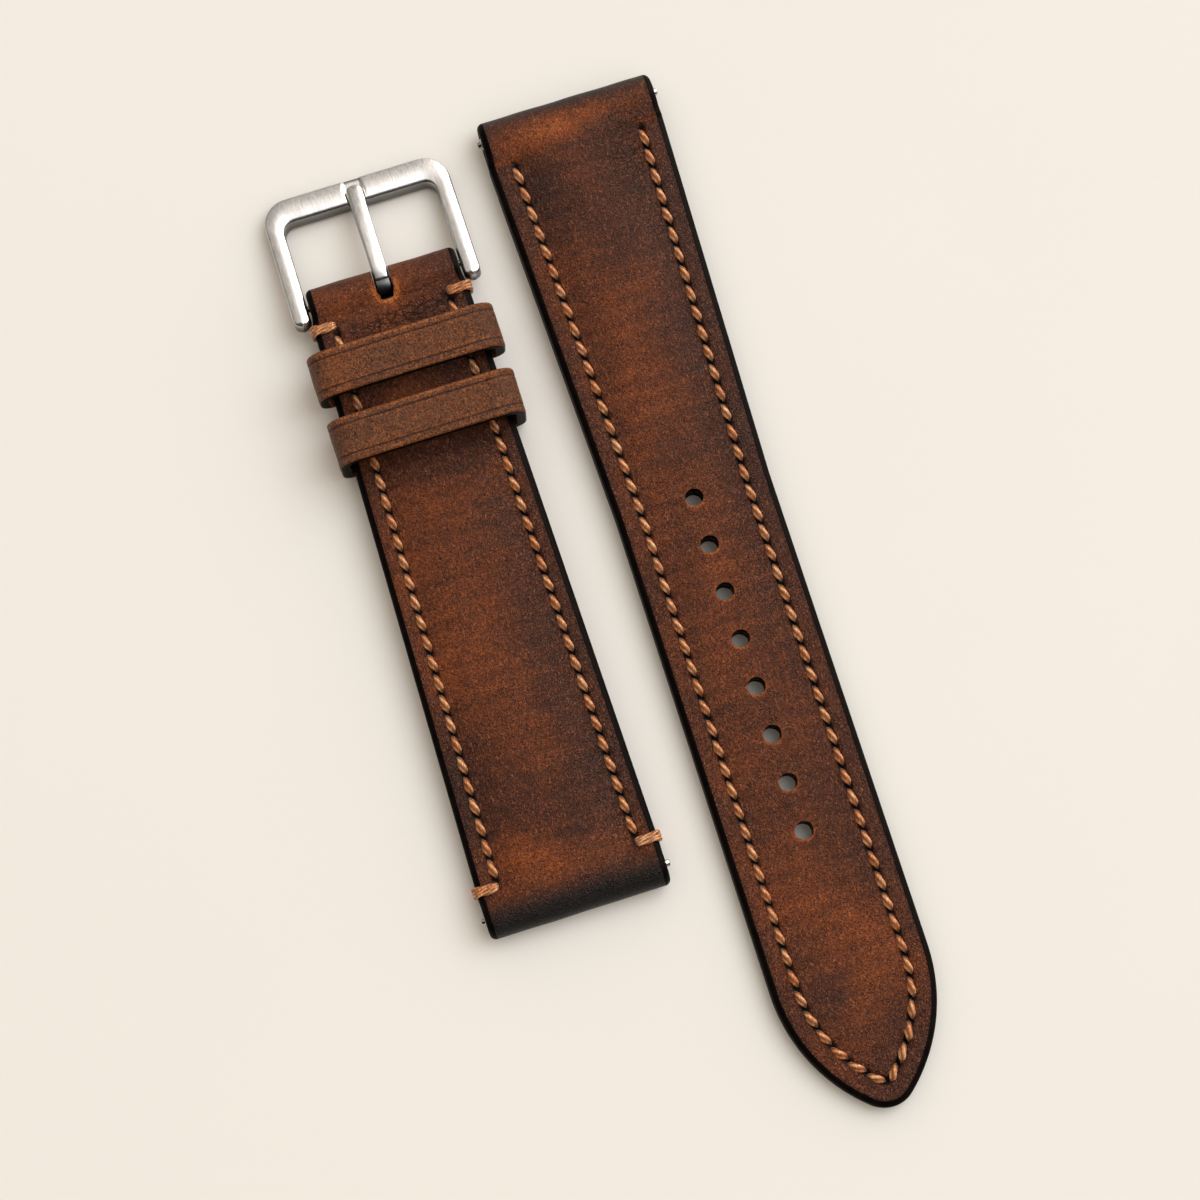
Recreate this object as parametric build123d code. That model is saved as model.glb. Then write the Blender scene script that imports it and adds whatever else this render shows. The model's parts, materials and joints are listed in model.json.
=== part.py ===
from build123d import *
from math import asin, atan2, cos, degrees, hypot, sin, sqrt
import os

# A padded leather watch strap for 20 mm lugs, in two pieces that lie side by side.
# Each piece is drawn in its own frame: x across, z up from the underside of the lining,
# and y = 0 at one end, the buckle end of the short piece and the lug end of the long one.
# "run" is the distance along a piece from that end, so y = -run.

# Fit to the watch
lug_gap = 20.0
lug_side_clearance = 0.1

# Short piece, from the fold over the buckle bar to the lug end
short_length = 73.0
short_buckle_width = 17.2
short_lug_width = 20.1

# Long piece, from the lug end to the tip
long_length = 114.5
long_lug_width = 20.3
long_tail_width = 17.3
taper_length = 46.7
tip_side_radius = 18.3
tip_round_radius = 3.4

# Leather
upper_thickness = 1.1
lining_thickness = 0.9
lug_margin_height = 3.4
thin_margin_height = 2.4
edge_bevel = 0.45
butt_gap = 0.05

# Padding under the upper leather, and the crown that it raises
lug_crown_height = 1.1
buckle_crown_height = 0.55
holes_crown_height = 0.4
tail_crown_height = 0.08
fold_crown_height = 0.06
crown_step = 0.05
crown_sink = 0.3
padding_wall = 0.8
padding_gap = 0.05
short_padding_start = 14.4
lug_padding_distance = 8.4
padding_hole_distance = 3.2
tail_crown_distance = 16.5

# Rolled ends round the spring bars
short_crest_run = 3.3
short_roll_run = 4.6
long_crest_run = 4.4
long_roll_run = 5.4
lug_flap_run = 8.0
buckle_bar_height = 1.1
buckle_crest_run = 2.6
buckle_roll_run = 4.4
buckle_flap_run = 7.2
roll_bevel = 0.3
roll_embed = 0.5
bar_bore_clearance = 0.1

# Stitching
short_stitch_inset = 2.3
long_stitch_inset = 2.7
short_stitch_start = 5.9
short_stitch_lug_distance = 6.0
long_stitch_start = 5.6
stitch_pitch = 2.27
stitch_length = 2.0
stitch_width = 0.72
stitch_slant = 10.0
stitch_taper = 18.0
stitch_rise = 0.58
groove_width = 1.0
groove_depth = 0.35
under_groove_depth = 0.4
under_stitch_length = 1.8
under_stitch_width = 0.56
under_stitch_rise = 0.36

# Bar tacks that wrap the edge at both ends of the short piece
buckle_tack_run = 4.95
lug_tack_distance = 5.2
tack_width = 0.95
tack_thread = 0.35
tack_clearance = 0.02

# Holes
hole_count = 8
first_hole_run = 47.2
hole_pitch = 5.34
hole_diameter = 1.9

# Slot for the tang in the fold
slot_width = 2.4
slot_length = 3.9

# Keepers
keeper_outer_width = 20.8
keeper_leather = 1.1
keeper_band = 5.05
keeper_inner_top = 5.7
keeper_corner_radius = 2.3
keeper_lower_radius = 1.5
keeper_lower_inner_radius = 0.4
keeper_edge_bevel = 0.2
fixed_keeper_run = 8.2
fixed_band_thickness = 0.7
fixed_band_clearance = 0.04
free_keeper_run = 15.7
free_keeper_drop = 0.3

# Buckle
buckle_inner_width = 17.3
buckle_side_clearance = 0.2
buckle_arm_width = 1.9
buckle_bar_width = 3.0
buckle_reach = 13.3
buckle_tail = 2.1
buckle_thickness = 2.0
buckle_corner_radius = 3.0
buckle_inner_radius = 1.3
buckle_edge_bevel = 0.45
buckle_foot_bevel = 0.2
arm_end_radius = 0.85
arm_hole_depth = 1.35
arm_hole_clearance = 0.05
seat_depth = 0.6
seat_side_clearance = 0.12

# Tang
tang_width = 1.8
tang_eye_radius = 1.35
tang_eye_clearance = 0.05
tang_tip_run = 12.4
tang_tip_height = 0.85
tang_seat_gap = 0.03
tang_arch = 0.55
tang_top_bevel = 0.4
tang_tip_round = 0.6

# Spring bars
lug_bar_diameter = 2.0
buckle_bar_diameter = 1.6
bar_end_gap = 0.3
tube_wall = 0.2
tube_lip = 0.1
tube_lip_length = 0.4
slide_clearance = 0.05
shank_show = 0.05
lug_tip_radius = 0.4
buckle_tip_radius = 0.35
tip_reach = 0.5
tip_end_gap = 0.15
plunger_head_length = 1.6
plunger_stop_gap = 0.02
spring_wire = 0.18
spring_turns = 2
spring_gap = 0.05

# Places of the two pieces on the table
pieces_spacing = 24.8
fold_set_back = 12.6

# One overrun serves every cut that passes through a face
overrun = 1.0

# Shoulders of the crown and of the padding: how far in and how high, as shares of the rise
shoulder_shares = ((0, 0), (0.8, 0.45), (2.2, 0.8), (4.5, 1))

# Shares of a stitch's half width and half length, round its foot
stitch_plan_shares = ((-0.2, -1), (1, -0.45), (0.2, 1), (-1, 0.45))

# Sizes worked out from those above
lug_roll_width = lug_gap - 2 * lug_side_clearance
buckle_roll_width = buckle_inner_width - 2 * buckle_side_clearance
lug_bore_radius = lug_bar_diameter / 2 + bar_bore_clearance
buckle_bore_radius = buckle_bar_diameter / 2 + bar_bore_clearance
lug_roll_radius = lug_bore_radius + upper_thickness
buckle_roll_radius = buckle_bore_radius + upper_thickness
short_padding_end = short_length - lug_padding_distance
long_padding_end = first_hole_run - padding_hole_distance
tail_crown_end = long_length - tail_crown_distance
short_stitch_end = short_length - short_stitch_lug_distance
lug_tack_run = short_length - lug_tack_distance
cutter_width = lug_gap + 2 * overrun
cutter_height = 2 * (lug_margin_height + lug_crown_height)

tip_half_width = long_tail_width / 2
tip_side_centre = tip_half_width - tip_side_radius
tip_slide = sqrt((tip_side_radius - tip_round_radius) ** 2 - tip_side_centre ** 2)
tip_centre_run = long_length - tip_round_radius
tip_start = tip_centre_run - tip_slide
tip_turn_x = -tip_side_centre / (tip_side_radius - tip_round_radius)
tip_turn_run = tip_slide / (tip_side_radius - tip_round_radius)


# Heights and widths along the pieces


def short_margin(run):
    """Height of the flat stitched margin of the short piece."""
    return thin_margin_height + (lug_margin_height - thin_margin_height) * run / short_length


def long_margin(run):
    """Height of the flat stitched margin of the long piece."""
    return lug_margin_height - (lug_margin_height - thin_margin_height) * run / long_length


def short_half_width(run):
    """Half width of the short piece, which widens evenly to the lug end."""
    return (short_buckle_width + (short_lug_width - short_buckle_width) * run / short_length) / 2


def long_half_width(run):
    """Half width of the long piece, which narrows over its taper and then runs parallel."""
    share = min(run / taper_length, 1)
    return (long_lug_width + (long_tail_width - long_lug_width) * share) / 2


def margin_plane(first_height, last_height, length):
    """Plane of a sloping margin, above the piece's own x and y axes."""
    slope = (last_height - first_height) / length
    return Plane(origin=(0, 0, first_height), x_dir=(1, 0, 0), z_dir=(0, slope, 1))


short_top = margin_plane(thin_margin_height, lug_margin_height, short_length)
long_top = margin_plane(lug_margin_height, thin_margin_height, long_length)


# Outlines seen from above


def short_side(inset, start, end, side):
    """Edge line of the short piece, moved in by the inset, on one side."""
    first = (side * (short_half_width(start) - inset), -start)
    last = (side * (short_half_width(end) - inset), -end)
    return [Line(first, last)]


def long_side(inset, start, side):
    """Edge line of the long piece from the lug end to the tip, moved in by the inset."""
    straight_x = side * (tip_half_width - inset)
    side_radius = tip_side_radius - inset
    round_radius = tip_round_radius - inset
    first = (side * (long_half_width(start) - inset), -start)
    taper_end = (straight_x, -taper_length)
    tip_first = (straight_x, -tip_start)
    edges = [Line(first, taper_end), Line(taper_end, tip_first)]
    if round_radius > 0:
        turn_x = side * (tip_side_centre + side_radius * tip_turn_x)
        turn = (turn_x, -(tip_start + side_radius * tip_turn_run))
        point = (0, -(tip_centre_run + round_radius))
        edges.append(TangentArc(tip_first, turn, tangent=(0, -1)))
        edges.append(TangentArc(turn, point, tangent=(-side * tip_turn_run, -tip_turn_x)))
    else:
        point = (0, -(tip_start + sqrt(side_radius ** 2 - tip_side_centre ** 2)))
        edges.append(TangentArc(tip_first, point, tangent=(0, -1)))
    return edges


def plan_face(right, left):
    """Face between the right and left edge lines of a piece."""
    outline = right + left + [Line(right[0] @ 0, left[0] @ 0)]
    if (right[-1] @ 1 - left[-1] @ 1).length > 0:
        outline.append(Line(right[-1] @ 1, left[-1] @ 1))
    return make_face(outline)


def short_plan(inset, start, end):
    return plan_face(short_side(inset, start, end, 1), short_side(inset, start, end, -1))


def long_plan(inset, start):
    return plan_face(long_side(inset, start, 1), long_side(inset, start, -1))


def short_stitched_plan(inset):
    return short_plan(inset, short_stitch_start, short_stitch_end)


def long_stitched_plan(inset):
    return long_plan(inset, long_stitch_start)


# Leather layers


def side_profile(points):
    """Face drawn in y and z from a closed list of points."""
    return Plane.YZ * make_face(Polyline(*points, close=True))


def upper_slab(plan, start, end, margin):
    """Upper leather's flat body on top of the lining, with its top edges bevelled."""
    points = [
        (-start, lining_thickness),
        (-start, margin(start)),
        (-end, margin(end)),
        (-end, lining_thickness),
    ]
    slab = extrude(side_profile(points), cutter_width, both=True) & extrude(plan, cutter_height)
    top_edges = slab.faces().sort_by(Axis.Z)[-1].edges()
    return chamfer(top_edges - top_edges.filter_by(Axis.X), edge_bevel)


def arch_outline(run, half, floor, foot, rise):
    """Points round a piece's raised middle: flat floor, straight sides and an arched top."""
    right = [(half - x * rise, -run, foot + z * rise) for x, z in shoulder_shares]
    left = [(-x, y, z) for x, y, z in reversed(right)]
    return right + left + [(-half, -run, floor), (half, -run, floor)]


def flat_sided_body(outlines):
    """Solid through matched outlines, whose sides all are flat."""
    faces = [make_face(Polyline(*points, close=True)) for points in (outlines[0], outlines[-1])]
    for near, far in zip(outlines, outlines[1:]):
        for corners in zip(near, near[1:] + near[:1], far[1:] + far[:1], far):
            faces.append(make_face(Polyline(*corners, close=True)))
    return Solid(Shell(faces))


def crown(stations, half_width, margin, inset):
    """Raised middle of the upper leather, between the two stitch grooves."""
    outlines = []
    for run, rise in stations:
        half = half_width(run) - inset - groove_width / 2 - crown_step
        foot = margin(run)
        outlines.append(arch_outline(run, half, foot - crown_sink, foot, rise))
    return flat_sided_body(outlines)


def padding_body(stations, half_width, margin, inset, gap):
    """Pad of filler between lining and upper leather, made smaller by the gap."""
    outlines = []
    for run, rise in stations:
        half = half_width(run) - inset - groove_width / 2 - padding_wall - gap
        foot = margin(run) - upper_thickness - gap
        outlines.append(arch_outline(run, half, lining_thickness, foot, rise))
    return flat_sided_body(outlines)


def end_roll(width, radius, centre_height, crest_run, roll_run, flap_run, to_y, margin):
    """Leather wrapped round a spring bar, with its end turned in under the strap."""
    crest = centre_height + radius
    inside = lining_thickness + roll_embed
    outline = [
        Line((to_y(radius), crest), (to_y(crest_run), crest)),
        Line((to_y(crest_run), crest), (to_y(roll_run), margin)),
        Line((to_y(roll_run), margin), (to_y(roll_run), inside)),
        Line((to_y(roll_run), inside), (to_y(flap_run), inside)),
        Line((to_y(flap_run), inside), (to_y(flap_run), 0)),
        Line((to_y(flap_run), 0), (to_y(roll_run), 0)),
        Line((to_y(roll_run), 0), (to_y(radius), centre_height - radius)),
        ThreePointArc(
            (to_y(radius), centre_height - radius),
            (to_y(0), centre_height),
            (to_y(radius), crest),
        ),
    ]
    section = Plane.YZ * make_face(outline)
    core = extrude(section, width / 2 - roll_bevel, both=True)
    rim = Pos(width / 2 - roll_bevel, 0, 0) * extrude(section, roll_bevel, taper=45)
    return core + rim + mirror(rim, about=Plane.YZ)


def cross_cylinder(radius, run, height):
    """Cylinder right across a piece, for a bore."""
    return Pos(0, -run, height) * Rot(0, 90, 0) * Cylinder(radius, cutter_width)


def groove(plan, inset, seat, depth):
    """Cutter for a stitch groove that follows a plan, standing on its floor."""
    track = plan(inset - groove_width / 2) - plan(inset + groove_width / 2)
    return seat * extrude(track, depth + overrun)


# Stitches


def spindle():
    """Stitch of the upper side, lying along y on its seat and drawn in towards its top."""
    half_width = stitch_width / 2
    half_length = stitch_length / 2
    foot = [(half_width * x, half_length * y) for x, y in stitch_plan_shares]
    return extrude(make_face(Polyline(*foot, close=True)), stitch_rise, taper=stitch_taper)


def ridge():
    """Stitch of the underside, a low ridge lying along y on its seat."""
    half_width = under_stitch_width / 2
    section = Polyline((-half_width, 0), (half_width, 0), (0, under_stitch_rise), close=True)
    return extrude(Plane.XZ * make_face(section), under_stitch_length / 2, both=True)


def stitch_row(path, seat, piece):
    """Copies of a stitch along a path, each slanted a little across it."""
    count = round(path.length / stitch_pitch)
    row = []
    for index in range(count):
        share = (index + 1 / 2) / count
        point = path @ share
        heading = path % share
        turn = degrees(atan2(heading.Y, heading.X)) - 90 + stitch_slant
        row.append(seat * Pos(point.X, point.Y, 0) * Rot(0, 0, turn) * piece)
    return row


def both_rows(right, left, seat, piece):
    return Compound(stitch_row(Wire(right), seat, piece) + stitch_row(Wire(left), seat, piece))


top_stitch = spindle()
under_stitch = Rot(0, 180, 0) * ridge()
under_seat = Pos(0, 0, under_groove_depth)
under_floor = under_seat * Rot(0, 180, 0)
short_seat = short_top.location * Pos(0, 0, -groove_depth)
long_seat = long_top.location * Pos(0, 0, -groove_depth)


def tack_edge(run):
    """Half width and margin height that a bar tack wraps, at its wider, higher side."""
    far = run + tack_width / 2
    return short_half_width(far) + tack_clearance, short_margin(far) + tack_clearance


def bar_tack(run, side):
    """Thick stitch over the strap's edge, its lower leg let into the underside."""
    edge, top = tack_edge(run)
    inner = edge - short_stitch_inset
    outline = Polyline(
        (inner, 0),
        (inner, tack_thread),
        (edge, tack_thread),
        (edge, top - edge_bevel),
        (edge - edge_bevel, top),
        (inner, top),
        (inner, top + tack_thread),
        (edge - edge_bevel, top + tack_thread),
        (edge + tack_thread, top - edge_bevel),
        (edge + tack_thread, 0),
        close=True,
    )
    tack = extrude(Plane.XZ * make_face(outline), tack_width / 2, both=True)
    tack = Pos(0, -run, 0) * tack
    return tack if side > 0 else mirror(tack, about=Plane.YZ)


def tack_notch(run):
    """Cutter across the underside for the lower legs of one pair of bar tacks."""
    edge, _ = tack_edge(run)
    reach = short_stitch_inset + tack_clearance
    length = tack_width + 2 * tack_clearance
    height = overrun + tack_thread + tack_clearance
    notch = Box(reach + overrun, length, height, align=(Align.MIN, Align.CENTER, Align.MAX))
    notch = Pos(edge - reach, -run, tack_thread + tack_clearance) * notch
    return notch + mirror(notch, about=Plane.YZ)


# Short piece


def short_upper():
    """Upper leather of the short piece, rolled at the lug end and folded at the buckle."""
    slab = upper_slab(
        short_plan(0, buckle_roll_run, short_length - short_roll_run),
        buckle_roll_run,
        short_length - short_roll_run,
        short_margin,
    )
    slab -= short_top_groove
    stations = (
        (buckle_roll_run, fold_crown_height),
        (short_padding_start, buckle_crown_height),
        (short_length - short_crest_run, lug_crown_height),
    )
    body = slab + crown(stations, short_half_width, short_margin, short_stitch_inset)
    body += end_roll(
        lug_roll_width, lug_roll_radius, lug_roll_radius, short_crest_run, short_roll_run,
        lug_flap_run, lambda run: run - short_length, short_margin(short_length - short_roll_run),
    )
    body += end_roll(
        buckle_roll_width, buckle_roll_radius, buckle_bar_height, buckle_crest_run,
        buckle_roll_run, buckle_flap_run, lambda run: -run, short_margin(buckle_roll_run),
    )
    body -= padding_body(short_padding_stations, short_half_width, short_margin, short_stitch_inset, 0)
    body -= cross_cylinder(lug_bore_radius, short_length - lug_roll_radius, lug_roll_radius)
    body -= cross_cylinder(buckle_bore_radius, buckle_roll_radius, buckle_bar_height)
    body -= tang_slot()
    body -= keeper_channel()
    body -= short_under_groove
    return body - tack_notch(buckle_tack_run) - tack_notch(lug_tack_run)


def tang_slot():
    """Slot through the fold, round at its inner end, that the tang swings in."""
    reach = slot_length + overrun
    slot = Rectangle(slot_width, reach - slot_width / 2, align=(Align.CENTER, Align.MAX))
    slot += Pos(0, slot_width / 2 - reach) * Circle(slot_width / 2)
    return Pos(0, overrun, -cutter_height / 2) * extrude(slot, cutter_height)


def keeper_channel():
    """Channel across the upper leather's underside that holds the fixed keeper's band."""
    length = keeper_band + 2 * fixed_band_clearance
    height = fixed_band_thickness + 2 * fixed_band_clearance
    centre = fixed_keeper_run + keeper_band / 2
    return Pos(0, -centre, lining_thickness + height / 2) * Box(cutter_width, length, height)


short_padding_stations = (
    (short_padding_start, buckle_crown_height),
    (short_padding_end, lug_crown_height),
)
short_padding_gap_stations = (
    (short_padding_start + padding_gap, buckle_crown_height),
    (short_padding_end - padding_gap, lug_crown_height),
)
short_top_groove = groove(short_stitched_plan, short_stitch_inset, short_seat, groove_depth)
short_under_groove = groove(
    short_stitched_plan, short_stitch_inset, under_floor, under_groove_depth
)


def short_lining():
    start = buckle_flap_run + butt_gap
    end = short_length - lug_flap_run - butt_gap
    return extrude(short_plan(0, start, end), lining_thickness) - short_under_groove


def short_stitches(seat, piece):
    right = short_side(short_stitch_inset, short_stitch_start, short_stitch_end, 1)
    left = short_side(short_stitch_inset, short_stitch_start, short_stitch_end, -1)
    return both_rows(right, left, seat, piece)


def short_tacks():
    runs = (buckle_tack_run, lug_tack_run)
    return Compound([bar_tack(run, side) for run in runs for side in (1, -1)])


# Long piece


def long_upper():
    """Upper leather of the long piece, rolled at the lug end and punched with holes."""
    slab = upper_slab(long_plan(0, long_roll_run), long_roll_run, long_length, long_margin)
    slab -= long_top_groove
    stations = (
        (long_crest_run, lug_crown_height),
        (long_padding_end, holes_crown_height),
        (tail_crown_end, tail_crown_height),
    )
    body = slab + crown(stations, long_half_width, long_margin, long_stitch_inset)
    body += end_roll(
        lug_roll_width, lug_roll_radius, lug_roll_radius, long_crest_run, long_roll_run,
        lug_flap_run, lambda run: -run, long_margin(long_roll_run),
    )
    body -= padding_body(long_padding_stations, long_half_width, long_margin, long_stitch_inset, 0)
    body -= cross_cylinder(lug_bore_radius, lug_roll_radius, lug_roll_radius)
    return body - holes() - long_under_groove


def holes():
    """Cutters for the row of buckle holes."""
    drill = Cylinder(hole_diameter / 2, cutter_height)
    return [Pos(0, -(first_hole_run + index * hole_pitch), 0) * drill for index in range(hole_count)]


long_padding_stations = (
    (lug_padding_distance, lug_crown_height),
    (long_padding_end, holes_crown_height),
)
long_padding_gap_stations = (
    (lug_padding_distance + padding_gap, lug_crown_height),
    (long_padding_end - padding_gap, holes_crown_height),
)
long_top_groove = groove(long_stitched_plan, long_stitch_inset, long_seat, groove_depth)
long_under_groove = groove(long_stitched_plan, long_stitch_inset, under_floor, under_groove_depth)


def long_lining():
    slab = extrude(long_plan(0, lug_flap_run + butt_gap), lining_thickness)
    return slab - long_under_groove - holes()


def long_stitches(seat, piece):
    right = long_side(long_stitch_inset, long_stitch_start, 1)
    left = long_side(long_stitch_inset, long_stitch_start, -1)
    return both_rows(right, left, seat, piece)


# Keepers


def keeper_section(width, bottom, top, upper_radius, lower_radius):
    """Upright rectangle with rounder corners above than below."""
    section = Pos(0, bottom) * Rectangle(width, top - bottom, align=(Align.CENTER, Align.MIN))
    section = fillet(section.vertices().sort_by(Axis.Y)[-2:], upper_radius)
    return fillet(section.vertices().sort_by(Axis.Y)[:2], lower_radius)


def keeper(start, bottom, band_bottom):
    """Closed loop of leather round the strap, its outer edges bevelled."""
    top = keeper_inner_top + keeper_leather
    inner_width = keeper_outer_width - 2 * keeper_leather
    inner_radius = keeper_corner_radius - keeper_leather
    outer = keeper_section(keeper_outer_width, bottom, top, keeper_corner_radius, keeper_lower_radius)
    inner = keeper_section(
        inner_width, band_bottom, keeper_inner_top, inner_radius, keeper_lower_inner_radius
    )
    loop = extrude(Plane.XZ * (outer - inner), keeper_band)
    rims = [face.outer_wire().edges() for face in loop.faces().filter_by(Axis.Y)]
    return Pos(0, -start, 0) * chamfer(rims[0] + rims[1], keeper_edge_bevel)


def fixed_keeper():
    bottom = lining_thickness + fixed_band_clearance
    return keeper(fixed_keeper_run, bottom, bottom + fixed_band_thickness)


def free_keeper():
    return keeper(free_keeper_run, -free_keeper_drop - keeper_leather, -free_keeper_drop)


# Buckle, drawn round its own pivot: y towards the outer bar, z up


def buckle_frame():
    """Bent U of the buckle with a seat for the tang and a blind hole in each arm."""
    outer_width = buckle_inner_width + 2 * buckle_arm_width
    length = buckle_reach + buckle_tail
    window = buckle_reach - buckle_bar_width + buckle_tail
    outer = Rectangle(outer_width, length, align=(Align.CENTER, Align.MIN))
    outer = fillet(outer.vertices().sort_by(Axis.Y)[-2:], buckle_corner_radius)
    inner = Rectangle(buckle_inner_width, window, align=(Align.CENTER, Align.MIN))
    inner = fillet(inner.vertices().sort_by(Axis.Y)[-2:], buckle_inner_radius)
    plan = outer - inner
    plan = fillet(plan.vertices().sort_by(Axis.Y)[:4], arm_end_radius)
    frame = Pos(0, -buckle_tail, -buckle_thickness / 2) * extrude(plan, buckle_thickness)
    frame = chamfer(frame.faces().sort_by(Axis.Z)[-1].edges(), buckle_edge_bevel)
    frame = chamfer(frame.faces().sort_by(Axis.Z)[0].edges(), buckle_foot_bevel)
    return frame - arm_holes() - tang_seat()


def arm_holes():
    """Cutter for the blind holes that take the buckle bar's tips."""
    radius = buckle_tip_radius + arm_hole_clearance
    return Rot(0, 90, 0) * Cylinder(radius, buckle_inner_width + 2 * arm_hole_depth)


def tang_seat():
    """Cutter for the shallow groove across the outer bar where the tang rests."""
    width = tang_width + 2 * seat_side_clearance
    length = buckle_bar_width + overrun
    floor = buckle_thickness / 2 - seat_depth
    seat = Box(width, length, seat_depth + overrun, align=(Align.CENTER, Align.CENTER, Align.MIN))
    return Pos(0, buckle_reach - buckle_bar_width / 2, floor) * seat


def tang():
    """Tang with an eye round the buckle bar and a slightly arched prong."""
    underside = buckle_thickness / 2 - seat_depth + tang_seat_gap
    bar_inside = buckle_reach - buckle_bar_width
    tip_top = underside + tang_tip_height
    middle = tang_tip_run / 2
    prong = [
        Line((0, 0), (0, tang_eye_radius)),
        ThreePointArc((0, tang_eye_radius), (middle, tip_top + tang_arch), (tang_tip_run, tip_top)),
        Line((tang_tip_run, tip_top), (tang_tip_run, underside)),
        Line((tang_tip_run, underside), (bar_inside, underside)),
        ThreePointArc((bar_inside, underside), (middle, underside + tang_arch / 2), (0, 0)),
    ]
    blade = extrude(Plane.YZ * make_face(prong), tang_width / 2, both=True)
    blade = fillet(blade.faces().sort_by(Axis.Y)[-1].edges().filter_by(Axis.Z), tang_tip_round)
    blade = bevel_blade(blade)
    eye = Rot(0, 90, 0) * Cylinder(tang_eye_radius, tang_width)
    bore = buckle_bar_diameter / 2 + tang_eye_clearance
    return blade + eye - Rot(0, 90, 0) * Cylinder(bore, tang_width + overrun)


def bevel_blade(blade):
    """Tang blade with the long edges of its upper face bevelled."""
    faces = [face for face in blade.faces() if face.normal_at().Z > 1 / 2]
    edges = [edge for face in faces for edge in face.edges() if abs((edge % (1 / 2)).X) < 1 / 2]
    return chamfer([edge for edge in edges if edge.center().Y > 0], tang_top_bevel)


# Spring bars, drawn along x about their own middle


def bar_tube(diameter, length):
    """Tube of a spring bar, its ends crimped in to keep the plungers."""
    outer = diameter / 2
    bore = outer - tube_wall
    lip = bore - tube_lip
    half = length / 2
    profile = Polyline(
        (-half, lip), (-half, outer), (half, outer), (half, lip),
        (half - tube_lip_length, bore), (tube_lip_length - half, bore),
        close=True,
    )
    return revolve(make_face(profile), Axis.X)


def plunger(diameter, length, shank_end, tip_radius, tip_end):
    """Right-hand plunger: head inside the tube, shank in its mouth, stepped tip."""
    head = diameter / 2 - tube_wall - slide_clearance
    shank = diameter / 2 - tube_wall - tube_lip - slide_clearance
    stop = length / 2 - tube_lip_length - plunger_stop_gap
    profile = Polyline(
        (stop - plunger_head_length, 0), (stop - plunger_head_length, head), (stop, head),
        (stop, shank), (shank_end, shank), (shank_end, tip_radius), (tip_end, tip_radius),
        (tip_end, 0), close=True,
    )
    return revolve(make_face(profile), Axis.X)


def bar_spring(diameter, length):
    """Coil between the two plunger heads."""
    stop = length / 2 - tube_lip_length - plunger_stop_gap
    reach = 2 * (stop - plunger_head_length - spring_gap) - spring_wire
    radius = diameter / 2 - tube_wall - spring_gap - spring_wire
    path = Helix(reach / spring_turns, reach, radius, center=(-reach / 2, 0, 0), direction=(1, 0, 0))
    start = Plane(origin=path @ 0, z_dir=path % 0)
    return sweep(start * Rectangle(spring_wire, spring_wire), path, is_frenet=True)


def spring_bar(name, diameter, length, right, place):
    """The four pieces of a spring bar, put in their place, by node name."""
    return {
        name + "_tube": place * bar_tube(diameter, length),
        name + "_plunger_right": place * right,
        name + "_plunger_left": place * mirror(right, about=Plane.YZ),
        name + "_spring": place * bar_spring(diameter, length),
    }


def lug_bar(name, place):
    side = lug_roll_width / 2
    length = lug_roll_width - 2 * bar_end_gap
    right = plunger(lug_bar_diameter, length, side + shank_show, lug_tip_radius, side + tip_reach)
    return spring_bar(name, lug_bar_diameter, length, right, place)


def buckle_bar(name, place):
    shank_end = buckle_roll_width / 2 + shank_show
    tip_end = buckle_inner_width / 2 + arm_hole_depth - tip_end_gap
    right = plunger(buckle_bar_diameter, buckle_roll_width, shank_end, buckle_tip_radius, tip_end)
    return spring_bar(name, buckle_bar_diameter, buckle_roll_width, right, place)


# Rest on the table: the short piece leans on its lug roll and on the free keeper


def rest_tilt():
    """Angle that brings the lug roll and the free keeper's lower edge to one level."""
    lug_run = short_length - lug_roll_radius
    along = lug_run - free_keeper_run - keeper_band
    drop = free_keeper_drop + keeper_leather + lug_roll_radius
    return atan2(drop, along) - asin(lug_roll_radius / hypot(drop, along))


def frame_droop(pivot_height):
    """Angle that lets the buckle's outer bar down onto the table."""
    reach = buckle_reach - buckle_foot_bevel
    half = buckle_thickness / 2
    return asin(pivot_height / hypot(reach, half)) - atan2(half, reach)


tilt = rest_tilt()
lug_axis_run = short_length - lug_roll_radius
short_lift = lug_axis_run * sin(tilt) - lug_roll_radius * cos(tilt) + lug_roll_radius
short_group = Pos(-pieces_spacing, -fold_set_back, short_lift) * Rot(degrees(tilt), 0, 0)
long_group = Pos(0, 0, 0)
buckle_axis = short_group * Pos(0, -buckle_roll_radius, buckle_bar_height)
droop = frame_droop(buckle_axis.position.Z)
buckle_group = Pos(*buckle_axis.position) * Rot(-degrees(droop), 0, 0)


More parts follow.
